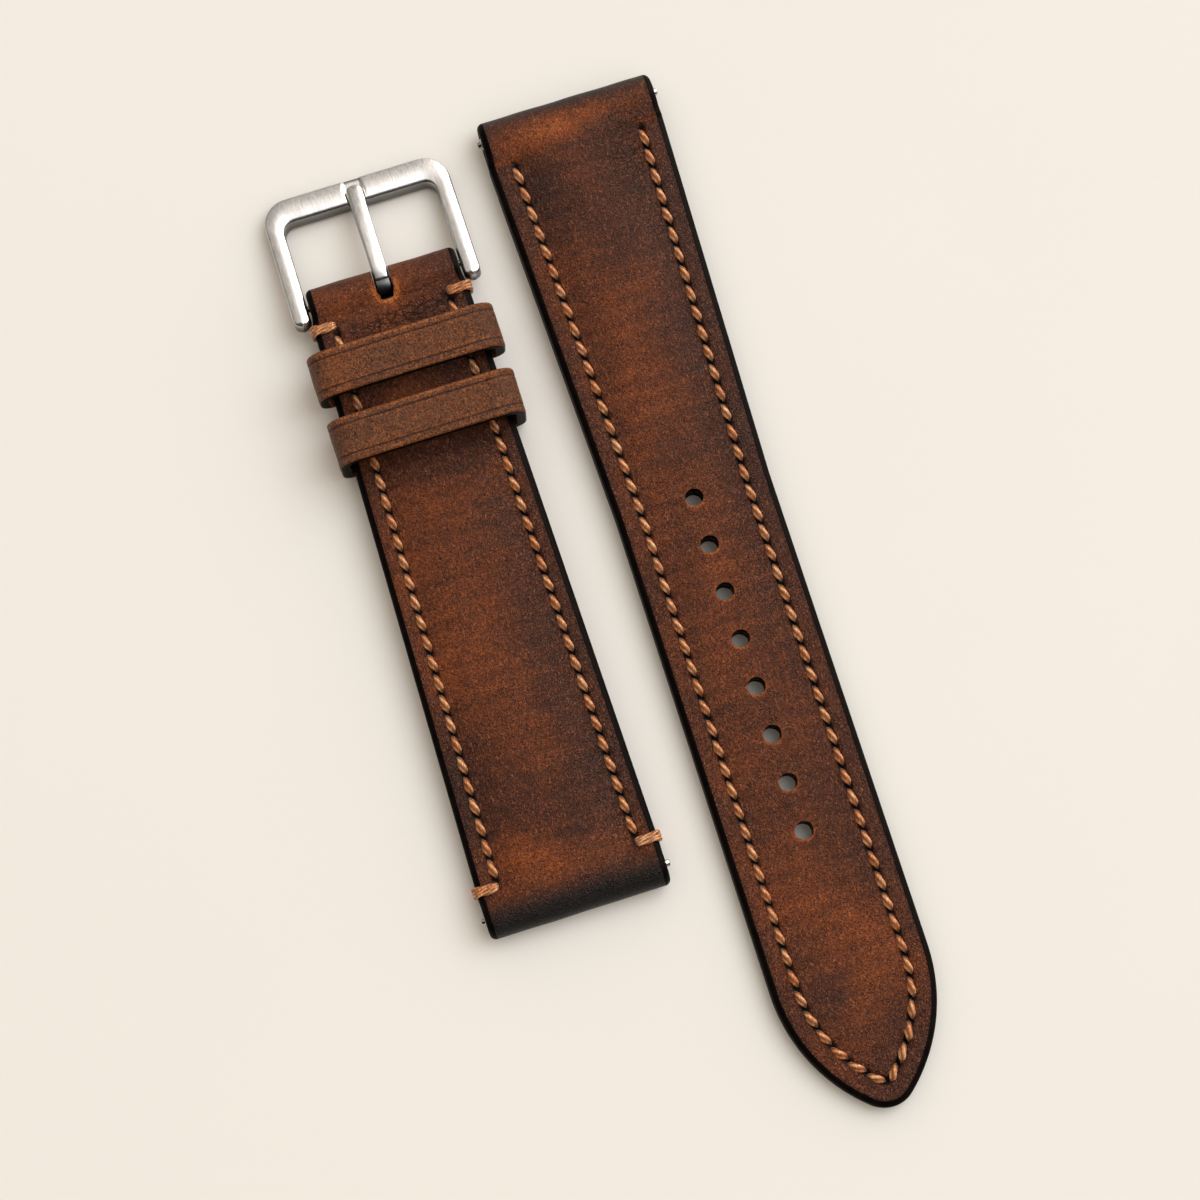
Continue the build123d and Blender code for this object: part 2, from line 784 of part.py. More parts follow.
def build():
    """All pieces of the strap, by node name, with the origin under the middle of their box."""
    nodes = {
        "short_upper_leather": short_group * short_upper(),
        "short_lining": short_group * short_lining(),
        "short_padding": short_group * padding_body(
            short_padding_gap_stations, short_half_width, short_margin, short_stitch_inset, padding_gap
        ),
        "short_top_stitches": short_group * short_stitches(short_seat, top_stitch),
        "short_under_stitches": short_group * short_stitches(under_seat, under_stitch),
        "short_bar_tacks": short_group * short_tacks(),
        "fixed_keeper": short_group * fixed_keeper(),
        "free_keeper": short_group * free_keeper(),
        "buckle_frame": buckle_group * buckle_frame(),
        "buckle_tang": buckle_group * tang(),
        "long_upper_leather": long_group * long_upper(),
        "long_lining": long_group * long_lining(),
        "long_padding": long_group * padding_body(
            long_padding_gap_stations, long_half_width, long_margin, long_stitch_inset, padding_gap
        ),
        "long_top_stitches": long_group * long_stitches(long_seat, top_stitch),
        "long_under_stitches": long_group * long_stitches(under_seat, under_stitch),
    }
    nodes |= buckle_bar("buckle_bar", buckle_axis)
    nodes |= lug_bar("short_lug_bar", short_group * Pos(0, -lug_axis_run, lug_roll_radius))
    nodes |= lug_bar("long_lug_bar", long_group * Pos(0, -lug_roll_radius, lug_roll_radius))
    box = Compound(list(nodes.values())).bounding_box()
    to_origin = Pos(-box.center().X, -box.center().Y, -box.min.Z)
    return {name: to_origin * shape for name, shape in nodes.items()}, to_origin


os.makedirs("parts", exist_ok=True)
parts, to_origin = build()
for name, shape in parts.items():
    export_step(shape, f"parts/{name}.step")
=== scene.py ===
import json
from copy import copy
from itertools import product
from math import asin, atan2, cos, hypot, pi, radians, sin, sqrt

import bmesh
import bpy
import numpy as np
from mathutils import Matrix, Vector


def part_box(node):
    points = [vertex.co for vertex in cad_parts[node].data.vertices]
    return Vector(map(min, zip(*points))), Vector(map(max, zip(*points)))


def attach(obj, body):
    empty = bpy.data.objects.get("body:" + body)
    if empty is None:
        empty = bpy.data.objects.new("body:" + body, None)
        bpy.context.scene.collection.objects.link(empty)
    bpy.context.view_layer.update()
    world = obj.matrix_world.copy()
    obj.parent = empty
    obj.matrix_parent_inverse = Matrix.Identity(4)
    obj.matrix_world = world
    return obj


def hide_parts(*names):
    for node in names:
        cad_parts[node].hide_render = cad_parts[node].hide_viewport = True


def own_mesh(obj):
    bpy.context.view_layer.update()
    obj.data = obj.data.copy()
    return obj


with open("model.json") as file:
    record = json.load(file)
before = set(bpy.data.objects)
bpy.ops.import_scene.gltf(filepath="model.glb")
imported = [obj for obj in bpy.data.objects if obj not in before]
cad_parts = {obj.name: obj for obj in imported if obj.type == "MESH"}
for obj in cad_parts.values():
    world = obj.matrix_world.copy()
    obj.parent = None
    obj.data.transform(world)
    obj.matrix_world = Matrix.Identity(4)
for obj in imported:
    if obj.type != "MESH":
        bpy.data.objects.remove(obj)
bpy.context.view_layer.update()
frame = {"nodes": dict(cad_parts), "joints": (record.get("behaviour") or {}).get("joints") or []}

# A leather watch strap in two pieces, dressed in its leather, thread and brushed steel.
# Sizes are millimetres, apart from the lamp's. "run" is the distance along a piece, from the
# buckle end of the short piece or the lug end of the long one, so y = -run in the piece's own frame.

MM = 0.001

# Strap plan
LUG_ROLL_WIDTH = 19.8
FOLD_WIDTH = 16.9
FOLD_FLARE = (3.0, 4.6)
SHORT_LUG_FLARE = (3.2, 4.8)
LONG_LUG_FLARE = (4.2, 5.6)
SHORT_LENGTH = 73.0
SHORT_WIDTHS = (17.2, 20.1)
LONG_LENGTH = 114.5
LONG_WIDTHS = (20.3, 17.3)
TAPER_LENGTH = 46.7
TIP_SIDE_RADIUS = 18.3
TIP_ROUND_RADIUS = 3.4

# Leather build
UPPER_THICKNESS = 1.1
LINING_THICKNESS = 0.9
LUG_MARGIN = 3.4
THIN_MARGIN = 2.4
EDGE_ROUND = 0.68
LINING_EDGE_ROUND = 0.3
LUG_RADIUS = 2.2
LUG_BORE = 1.1
LUG_FLAP = 8.0
FOLD_RADIUS = 2.0
FOLD_BORE = 0.9
FOLD_BAR_HEIGHT = 1.1
FOLD_FLAP = 7.2
PAD_START = 14.4
PAD_LUG_DISTANCE = 8.4
LONG_PAD_END = 44.0
PAD_GAP = 0.06
PAD_RIM = 0.05
PAD_TOP_GAP = 0.08
CHANNEL = (8.15, 13.3)
CHANNEL_TOP = 1.72
GLUE_LINE = 0.02
FLAP_GAP = 0.03
CROWN_POWER = 2.5

# Rolled ends: where their round top ends, where their ledge meets the stitched margin,
# and where the flat rows between them begin and end
LUG_CREST = 2.7
FOLD_CREST = 2.6
FOLD_LEDGE = 4.4
SHORT_LUG_LEDGE = 4.6
LONG_LUG_LEDGE = 5.3
SHORT_TOP = (4.6, SHORT_LENGTH - 4.8)
LONG_TOP_START = 5.6

# Stitching
SHORT_INSET = 2.3
LONG_INSET = 2.7
LONG_CROWN_INSET = 3.3
SHORT_STITCHES = (5.9, 67.0)
LONG_STITCH_START = 6.0
STITCH_PITCH = 2.27
GROOVE_WIDTH = 1.0
GROOVE_DEPTH = 0.35
LINING_GROOVE_DEPTH = 0.38
NEEDLE_HOLE_DEPTH = 0.3
STITCH_SLANT = radians(11)
STITCH_UNEVENNESS = 0.05
TOP_THREAD_RISE = 0.27
UNDER_THREAD_HEIGHT = 0.23
TACK_RUNS = (4.95, 67.8)
TACK_PITCH = 0.34
TACK_THREAD = 0.25

# Holes and slot
HOLE_RUNS = [47.2 + 5.34 * index for index in range(8)]
HOLE_RADIUS = 0.95
RINGS_BESIDE_HOLE = np.array([1.07, 1.18, 1.36, 1.6, 1.9, 2.3])
STEPS_IN_HOLE = 5
SLOT_RADIUS = 1.2
SLOT_CENTRE = 2.7

# Keepers
KEEPER_WIDTH = 20.8
KEEPER_LEATHER = 1.1
KEEPER_BAND = 5.05
KEEPER_TOP = 6.8
KEEPER_RADIUS = 2.3
KEEPER_LOWER_RADIUS = 1.5
KEEPER_CREASE = 0.9
KEEPER_RIM_ROUND = 0.3
FIXED_KEEPER_START = 8.2
FIXED_KEEPER_BOTTOM = 0.94
FIXED_KEEPER_BAND = 0.7
FIXED_KEEPER_CROWN = 0.12
FREE_KEEPER_START = 15.7
FREE_KEEPER_BOTTOM = -1.4
FREE_KEEPER_CROWN = 0.1
# distances from an edge, close over the rounded rim and the crease
KEEPER_LINES = np.array([
    0, 0.03, 0.09, 0.17, 0.28, 0.45, 0.66, 0.76, 0.83, 0.9, 0.97, 1.04, 1.12, 1.22, 1.5, 1.85, 2.2,
])

# Buckle, drawn round its own pivot: y towards the outer bar, z up
BUCKLE_INNER = 8.65
BUCKLE_OUTER = 10.55
BUCKLE_BAR = 3.0
BUCKLE_REACH = 13.3
BUCKLE_TAIL = 2.1
BUCKLE_HALF_THICKNESS = 1.0
BUCKLE_CORNER = 3.0
BUCKLE_INNER_CORNER = 1.3
BUCKLE_FOOT = 0.2
BUCKLE_ROUND = 0.4
BUCKLE_DOME = 0.1
ARM_END_ROUND = 0.85
SEAT_FLOOR = 0.4
TANG_WIDTH = 1.8
TANG_TIP = 12.4
TANG_TIP_ROUND = 0.78
TANG_SEAT_START = 10.3
TANG_MIDDLE_BASE = 0.705
TANG_MIDDLE_TOP = 1.83
TANG_TIP_TOP = 1.28
TANG_EYE = 1.35
TANG_BORE = 0.85
SPRING_WIRE = 0.18
SPRING_TURNS = 14

# Spacing of the skin's rows
ROW_STEP = 0.36


def smooth(value, low, high):
    """0 below low, 1 above high, with a soft ramp between."""
    share = np.clip((value - low) / (high - low), 0, 1)
    return share * share * (3 - 2 * share)


def stepped(low, high, step):
    """Even steps from low to high, both included."""
    return np.linspace(low, high, max(2, int(round(abs(high - low) / step)) + 1))


# Places of the pieces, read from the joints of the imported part


def joint_place(name):
    """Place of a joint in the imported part."""
    joint = next(joint for joint in frame["joints"] if joint["name"] == name)
    return Vector(joint["pos_m"]) / MM


buckle_place = joint_place("buckle_bar_turn")
short_lug_place = joint_place("short_lug_bar_turn")
long_lug_place = joint_place("long_lug_bar_turn")

own_reach = SHORT_LENGTH - LUG_RADIUS - FOLD_RADIUS
own_rise = FOLD_BAR_HEIGHT - LUG_RADIUS
placed = buckle_place - short_lug_place
tilt = atan2(placed.z, placed.y) - atan2(own_rise, own_reach)
short_matrix = (
    Matrix.Translation(short_lug_place)
    @ Matrix.Rotation(tilt, 4, "X")
    @ Matrix.Translation((0, SHORT_LENGTH - LUG_RADIUS, -LUG_RADIUS))
)
long_matrix = Matrix.Translation(long_lug_place) @ Matrix.Translation((0, LUG_RADIUS, -LUG_RADIUS))
# the buckle droops until its foot rests on the table
foot_reach = BUCKLE_REACH - BUCKLE_FOOT
droop = asin(buckle_place.z / hypot(foot_reach, BUCKLE_HALF_THICKNESS))
droop -= atan2(BUCKLE_HALF_THICKNESS, foot_reach)
buckle_matrix = Matrix.Translation(buckle_place) @ Matrix.Rotation(-droop, 4, "X")


# Mesh making


def add_piece(name, points, faces, place, materials, paint=None, marks=None):
    """One mesh piece from points in its own frame; place is (matrix, body, slot, replaced node), of which
    the slot is not used.
    """
    matrix, body, slot, node = place
    mesh = bpy.data.meshes.new(name)
    mesh.from_pydata([tuple(point) for point in points], [], faces)
    for key, values in (marks or {}).items():
        layer = mesh.attributes.new(key, "FLOAT", "POINT")
        layer.data.foreach_set("value", np.asarray(values, np.float32).ravel())
    for material in materials:
        mesh.materials.append(material)
    if paint is not None:
        mesh.polygons.foreach_set("material_index", np.asarray(paint, np.int32))
    close_seams(mesh)
    return place_piece(name, mesh, matrix, body, node)


def close_seams(mesh):
    """Merges doubled points and turns all faces outwards."""
    work = bmesh.new()
    work.from_mesh(mesh)
    bmesh.ops.remove_doubles(work, verts=work.verts, dist=0.002)
    bmesh.ops.recalc_face_normals(work, faces=work.faces)
    work.to_mesh(mesh)
    work.free()


def new_object(name, data):
    """Object in the scene for a mesh, a lamp or a camera."""
    made = bpy.data.objects.new(name, data)
    bpy.context.scene.collection.objects.link(made)
    return made


def place_piece(name, mesh, matrix, body, node):
    """Object for a finished mesh, set in the part's frame and riding on its body in place of a node."""
    mesh.transform(Matrix.Scale(MM, 4) @ matrix)
    mesh.polygons.foreach_set("use_smooth", np.ones(len(mesh.polygons), bool))
    piece = new_object(name, mesh)
    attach(piece, body)
    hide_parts(node)
    return piece


def grid_faces(rows, columns, first, gone, closed):
    """Quads of a grid of points, leaving out the cells that are gone."""
    faces = []
    for row in range(rows if closed else rows - 1):
        for column in range(columns - 1):
            if not gone[row, column]:
                a = first + row * columns + column
                b = first + (row + 1) % rows * columns + column
                faces.append((a, b, b + 1, a + 1))
    return faces


def ring_faces(rows, around):
    """Quads between rings of points, with both ends closed."""
    faces = []
    for row in range(rows - 1):
        for step in range(around):
            a = row * around + step
            b = row * around + (step + 1) % around
            faces.append((a, b, b + around, a + around))
    return [*faces, tuple(range(around))[::-1], tuple(range((rows - 1) * around, rows * around))]


def rim_faces(rows, columns, gap, gone, closed, seam):
    """Quads that join the rims of an outer grid to the same points of an inner one, gap further on."""
    height, width = gone.shape
    walls = []
    for row in range(height):
        below = (row + 1) % rows
        for column in range(width):
            if gone[row, column]:
                continue
            corner = row * columns + column
            under = below * columns + column
            rims = []
            if column == 0 or gone[row, column - 1]:
                rims.append((corner, under))
            if column == width - 1 or gone[row, column + 1]:
                rims.append((under + 1, corner + 1))
            if not closed and (row == 0 or gone[row - 1, column]):
                rims.append((corner + 1, corner))
            if not closed and (not seam if row == height - 1 else gone[row + 1, column]):
                rims.append((under, under + 1))
            walls.extend((a, b, b + gap, a + gap) for a, b in rims)
    return walls


def add_sheet(
    name, outer, inner, place, materials, gone=None, closed=False, seam=False, edge_columns=0, marks=None,
):
    """Piece of leather between an outer and an inner grid of points; its rims take the second material."""
    rows, columns = outer.shape[:2]
    if gone is None:
        gone = np.zeros((rows if closed else rows - 1, columns - 1), bool)
    gap = rows * columns
    faces = grid_faces(rows, columns, 0, gone, closed)
    inside = [tuple(reversed(face)) for face in grid_faces(rows, columns, gap, gone, closed)]
    walls = rim_faces(rows, columns, gap, gone, closed, seam)
    near_edge = [face[0] % columns for face in faces]
    paint = [int(column < edge_columns or column >= columns - 1 - edge_columns) for column in near_edge]
    paint += [0] * len(inside) + [1] * len(walls)
    points = np.concatenate([outer.reshape(-1, 3), inner.reshape(-1, 3)])
    doubled = {key: np.concatenate([value.ravel(), value.ravel()]) for key, value in (marks or {}).items()}
    return add_piece(name, points, faces + inside + walls, place, materials, paint, doubled)


def tube(path, radius, around, twist=0.0, lobes=0, lobe_depth=0.0):
    """Points, faces and lengths run of a closed tube on a path, with twisted lobes like plied thread."""
    path = np.asarray(path, float)
    heading = np.gradient(path, axis=0)
    heading /= np.linalg.norm(heading, axis=1)[:, None]
    side = np.cross(heading, (0.0, 1.0, 0.0))
    side /= np.linalg.norm(side, axis=1)[:, None]
    lift = np.cross(side, heading)
    steps = np.concatenate([[0], np.cumsum(np.linalg.norm(np.diff(path, axis=0), axis=1))])
    angles = np.linspace(0, 2 * pi, around, endpoint=False)
    turned = angles[None, :] + twist * steps[:, None]
    size = np.broadcast_to(radius, len(path))[:, None] * (1 + lobe_depth * np.cos(lobes * angles))[None, :]
    points = path[:, None] + side[:, None] * (size * np.cos(turned))[..., None]
    points += lift[:, None] * (size * np.sin(turned))[..., None]
    return points.reshape(-1, 3), ring_faces(len(path), around), np.repeat(steps, around)


# Materials


def to_linear(hex_colour):
    """sRGB hex colour as linear RGBA."""
    parts = [int(hex_colour[start:start + 2], 16) / 255 for start in (1, 3, 5)]
    return [part / 12.92 if part <= 0.04045 else ((part + 0.055) / 1.055) ** 2.4 for part in parts] + [1]


def add(tree, kind, inputs=None, stops=(), **settings):
    """One node with its settings, the stops of its ramp, and its inputs: values, sockets or nodes."""
    node = tree.nodes.new(kind if "Node" in kind else "ShaderNode" + kind)
    for key, value in settings.items():
        setattr(node, key, value)
    for key, value in (inputs or {}).items():
        if isinstance(value, bpy.types.Node):
            value = next(socket for socket in value.outputs if socket.enabled)
        if isinstance(value, bpy.types.NodeSocket):
            tree.links.new(value, node.inputs[key])
        else:
            node.inputs[key].default_value = value
    for index, (place, colour) in enumerate(stops):
        elements = node.color_ramp.elements
        stop = elements[index] if index < len(elements) else elements.new(place)
        stop.position = place
        stop.color = to_linear(colour) if isinstance(colour, str) else (colour, colour, colour, 1)
    return node


def new_material(name):
    """Empty material, its node tree and the place of each point on the object."""
    material = bpy.data.materials.new(name)
    material.use_nodes = True
    tree = material.node_tree
    tree.nodes.clear()
    return material, tree, add(tree, "TexCoord").outputs["Object"]


PAINTED_GLINT_GREY = "#6f4a3e"
OPEN_GRAIN_AND_SHADE = "#0c0604"


def burnished_leather(name, tones, gloss, scratch_and_glint_share):
    """Vegetable-tanned calf, waxed and burnished by hand.

    The eye sees a low waxy gloss over short fine wrinkles, dark in the hollows, with small
    painted grey-pink glints where it is dark and orange scratches where the wax is rubbed off.
    """
    material, tree, place = new_material(name)
    patina_and_painted_light, shade, bent = (
        add(tree, "Attribute", attribute_name=mark).outputs["Fac"] for mark in ("patina_and_painted_light", "shade", "bent")
    )
    # clouds 7 mm wide and mottling 1.2 mm wide
    cloud = add(tree, "TexNoise", {"Vector": place, "Scale": 0.14 / MM, "Detail": 3.0, "Roughness": 0.5})
    mottle = add(tree, "TexNoise", {
        "Vector": place, "Scale": 0.8 / MM, "Detail": 4.0, "Roughness": 0.65, "Distortion": 0.6,
    })
    # the patina mark gives the tone, with painted shade and painted highlights added into it
    level = add(tree, "Math", {0: cloud, 1: 0.55, 2: patina_and_painted_light}, operation="MULTIPLY_ADD")
    level = add(tree, "Math", {0: mottle, 1: 0.24, 2: level}, operation="MULTIPLY_ADD")
    level = add(tree, "Math", {0: level, 1: 0.4}, operation="SUBTRACT", use_clamp=True)
    colour = add(tree, "ValToRGB", {"Fac": level}, stops=tuple(zip((0.05, 0.38, 0.7, 1.0), tones)))
    # wrinkles 0.25 mm apart round cells of 0.33 mm, and scratches 0.17 mm wide and 0.5 mm long at a slant,
    # which also place the painted glints
    grain = add(tree, "TexNoise", {
        "Vector": place, "Scale": 4.0 / MM, "Detail": 2.0, "Roughness": 0.5, "Distortion": 1.4,
    })
    drawn = add(tree, "Mapping", {
        "Vector": place, "Rotation": (0.0, 0.0, radians(28)), "Scale": (1.0, 0.35, 1.0),
    })
    scratch = add(tree, "TexNoise", {
        "Vector": drawn, "Scale": 6.0 / MM, "Detail": 1.0, "Roughness": 0.5, "Distortion": 1.4,
    })
    cell = add(tree, "TexVoronoi", {"Vector": place, "Scale": 3.0 / MM}, feature="DISTANCE_TO_EDGE")
    crease = add(tree, "MapRange", {"Value": cell, "From Max": 0.14})
    # painted glints: grey-pink flecks where the leather is dark, turning to orange scratches where it is
    # light
    scratches_and_glints = add(tree, "MapRange", {"Value": scratch, "From Min": 0.52, "From Max": 0.7, "To Max": scratch_and_glint_share})
    scratch_and_glint_colour = add(tree, "Mix", {0: level, 6: to_linear(PAINTED_GLINT_GREY), 7: to_linear(tones[-1])}, data_type="RGBA")
    colour = add(tree, "Mix", {0: scratches_and_glints, 6: colour, 7: scratch_and_glint_colour}, data_type="RGBA")
    depth = add(tree, "MapRange", {
        "Value": grain, "From Min": 0.38, "From Max": 0.62, "To Min": 0.35, "To Max": 1.5,
    })
    hollow = add(tree, "MapRange", {"Value": crease, "To Min": 0.8})
    hollow = add(tree, "Math", {0: depth, 1: hollow}, operation="MULTIPLY")
    colour = add(tree, "Mix", {0: 1.0, 6: colour, 7: hollow}, data_type="RGBA", blend_type="MULTIPLY")
    # cracks 1.3 mm long and 0.6 mm apart, only where the leather has been bent
    wander = add(tree, "VectorMath", {0: mottle.outputs["Color"], "Scale": 0.9 * MM}, operation="SCALE")
    moved = add(tree, "VectorMath", {0: place, 1: wander}, operation="ADD")
    moved = add(tree, "Mapping", {"Vector": moved, "Scale": (0.8, 1.7, 1.0)})
    net = add(tree, "TexVoronoi", {"Vector": moved, "Scale": 1.0 / MM}, feature="DISTANCE_TO_EDGE")
    crack = add(tree, "MapRange", {"Value": net, "From Max": 0.09, "To Min": 1.0, "To Max": 0.0})
    crack = add(tree, "Math", {0: crack, 1: bent}, operation="MULTIPLY", use_clamp=True)
    # the cracks, and the painted shade held in the shade mark, darken the colour towards nearly black
    darkness = add(tree, "Math", {0: crack, 1: 0.95, 2: shade}, operation="MULTIPLY_ADD", use_clamp=True)
    colour = add(tree, "Mix", {0: darkness, 6: colour, 7: to_linear(OPEN_GRAIN_AND_SHADE)}, data_type="RGBA")
    height = add(tree, "Math", {0: crease, 1: 0.25, 2: grain}, operation="MULTIPLY_ADD")
    height = add(tree, "Math", {0: crack, 1: -0.8, 2: height}, operation="MULTIPLY_ADD")
    rough = add(tree, "MapRange", {"Value": grain, "To Min": gloss + 0.1, "To Max": gloss - 0.08})
    bump = add(tree, "Bump", {"Height": height, "Strength": 0.9, "Distance": 0.18 * MM})
    shader = add(tree, "BsdfPrincipled", {
        "Base Color": colour, "Roughness": rough, "IOR": 1.45, "Specular IOR Level": 0.22, "Normal": bump,
    })
    add(tree, "OutputMaterial", {"Surface": shader})
    return material


def edge_paint(name, deep, light):
    """Acrylic edge paint in sanded coats: nearly black, smooth, with a low gloss."""
    material, tree, place = new_material(name)
    # coats pooled 1.2 mm wide
    ripple = add(tree, "TexNoise", {"Vector": place, "Scale": 0.8 / MM, "Detail": 3.0})
    colour = add(tree, "ValToRGB", {"Fac": ripple}, stops=((0.3, deep), (0.7, light)))
    bump = add(tree, "Bump", {"Height": ripple, "Strength": 0.4, "Distance": 0.1 * MM})
    shader = add(tree, "BsdfPrincipled", {
        "Base Color": colour, "Roughness": 0.5, "IOR": 1.48, "Specular IOR Level": 0.03, "Normal": bump,
    })
    add(tree, "OutputMaterial", {"Surface": shader})
    return material


def lining_leather():
    """Undyed vegetable-tanned calf, plated smooth: pale tan and matt, with a close pore grain."""
    material, tree, place = new_material("lining_vegetable_tanned_calf")
    # clouds 6 mm wide, pores 0.35 mm apart
    cloud = add(tree, "TexNoise", {"Vector": place, "Scale": 0.16 / MM, "Detail": 4.0, "Roughness": 0.6})
    pores = add(tree, "TexNoise", {"Vector": place, "Scale": 2.8 / MM, "Detail": 4.0, "Roughness": 0.6})
    colour = add(
        tree, "ValToRGB", {"Fac": cloud}, stops=((0.3, "#8a5c38"), (0.55, "#a06f45"), (0.8, "#b27f52")),
    )
    dots = add(tree, "MapRange", {"Value": pores, "From Min": 0.36, "From Max": 0.5, "To Min": 0.7})
    colour = add(tree, "Mix", {0: 1.0, 6: colour, 7: dots}, data_type="RGBA", blend_type="MULTIPLY")
    bump = add(tree, "Bump", {"Height": pores, "Strength": 0.4, "Distance": 0.05 * MM})
    shader = add(tree, "BsdfPrincipled", {
        "Base Color": colour, "Roughness": 0.6, "IOR": 1.5, "Normal": bump,
    })
    add(tree, "OutputMaterial", {"Surface": shader})
    return material


def waxed_thread():
    """Plied linen drawn through beeswax: tan with pale fibres, with painted shade between its plies and at
    the ends of its stitches.
    """
    material, tree, place = new_material("thread_waxed_linen")
    ply, ends = (
        add(tree, "Attribute", attribute_name=mark).outputs["Fac"] for mark in ("ply", "thread_end_shade")
    )
    # dye clouds 3 mm long, fibres drawn out along the strap and 0.14 mm thick so that they show
    cloud = add(tree, "TexNoise", {"Vector": place, "Scale": 0.35 / MM, "Detail": 2.0})
    drawn = add(tree, "Mapping", {"Vector": place, "Scale": (1.0, 0.3, 1.0)})
    fibre = add(tree, "TexNoise", {"Vector": drawn, "Scale": 7.0 / MM, "Detail": 3.0})
    level = add(tree, "Math", {0: cloud, 1: 0.4, 2: fibre}, operation="MULTIPLY_ADD")
    colour = add(
        tree, "ValToRGB", {"Fac": level}, stops=((0.5, "#b25b21"), (0.68, "#e08a42"), (0.86, "#ffca92")),
    )
    # painted shade in the gaps between the plies and where each stitch dives into its hole
    gap = add(tree, "Math", {0: ply, 1: 0.95}, operation="MULTIPLY")
    colour = add(tree, "Mix", {0: gap, 6: colour, 7: to_linear("#64290c")}, data_type="RGBA")
    colour = add(tree, "Mix", {0: ends, 6: colour, 7: to_linear("#1c0c05")}, data_type="RGBA")
    bump = add(tree, "Bump", {"Height": fibre, "Strength": 0.5, "Distance": 0.05 * MM})
    shader = add(tree, "BsdfPrincipled", {
        "Base Color": colour, "Roughness": 0.46, "IOR": 1.5, "Sheen Weight": 0.15, "Normal": bump,
    })
    add(tree, "OutputMaterial", {"Surface": shader})
    return material


def brushed_steel(name, stretch, gloss, tones):
    """Stainless steel finished on a fine belt: parallel brush lines that smear its highlights across."""
    material, tree, place = new_material(name)
    shade = add(tree, "Attribute", attribute_name="shade").outputs["Fac"]
    # lines from 1 mm noise, drawn out by the stretch: on the buckle 7 mm long and 0.17 mm wide,
    # coarser than the belt's own scratches so that they show
    drawn = add(tree, "Mapping", {"Vector": place, "Scale": stretch})
    lines = add(tree, "TexNoise", {"Vector": drawn, "Scale": 1.0 / MM, "Detail": 3.0, "Roughness": 0.7})
    colour = add(tree, "ValToRGB", {"Fac": lines}, stops=tuple(zip((0.3, 0.7), tones)))
    colour = add(tree, "Mix", {0: shade, 6: colour, 7: to_linear("#3a3835")}, data_type="RGBA")
    rough = add(tree, "MapRange", {"Value": lines, "To Min": gloss - 0.05, "To Max": gloss + 0.05})
    bump = add(tree, "Bump", {"Height": lines, "Strength": 0.05, "Distance": 0.01 * MM})
    shader = add(tree, "BsdfPrincipled", {
        "Base Color": colour, "Metallic": 1.0, "Roughness": rough, "Normal": bump,
    })
    add(tree, "OutputMaterial", {"Surface": shader})
    return material


def felt_filler():
    """Needled fibre felt inside the strap: pale, matt and hairy."""
    material, tree, place = new_material("filler_needled_felt")
    # fibre bundles 0.6 mm wide
    fibres = add(tree, "TexNoise", {"Vector": place, "Scale": 1.6 / MM, "Detail": 4.0, "Distortion": 1.0})
    colour = add(tree, "ValToRGB", {"Fac": fibres}, stops=((0.3, "#a8977c"), (0.7, "#c9bb9f")))
    bump = add(tree, "Bump", {"Height": fibres, "Strength": 0.5, "Distance": 0.1 * MM})
    shader = add(tree, "BsdfPrincipled", {
        "Base Color": colour, "Roughness": 0.9, "IOR": 1.5, "Normal": bump,
    })
    add(tree, "OutputMaterial", {"Surface": shader})
    return material


strap_tones = ("#1c0c06", "#4a220e", "#84401a", "#bd6a2f")
keeper_tones = ("#2a1a12", "#5c3824", "#844620", "#c47e42")
strap_calf = burnished_leather("strap_burnished_calf", strap_tones, 0.38, 0.6)
keeper_calf = burnished_leather("keeper_burnished_calf", keeper_tones, 0.4, 0.5)
strap_edge = edge_paint("strap_edge_paint", "#070403", "#120b08")
keeper_edge = edge_paint("keeper_edge_paint", "#0d0908", "#1a1412")
lining_calf = lining_leather()
linen = waxed_thread()
buckle_steel = brushed_steel("buckle_satin_brushed_steel", (6.0, 0.15, 6.0), 0.3, ("#cbc9c6", "#f4f2f0"))
bar_steel = brushed_steel("spring_bar_turned_steel", (4.0, 0.8, 0.8), 0.26, ("#6f6c69", "#9a9793"))
tip_steel = brushed_steel("plunger_polished_steel", (1.0, 1.0, 1.0), 0.22, ("#a9a6a3", "#c9c6c3"))
wire_steel = brushed_steel("spring_wire_drawn_steel", (1.0, 3.0, 3.0), 0.3, ("#9c9995", "#c4c1bd"))
filler = felt_filler()


# Skins of the two straps: rows run along the leather, columns across it


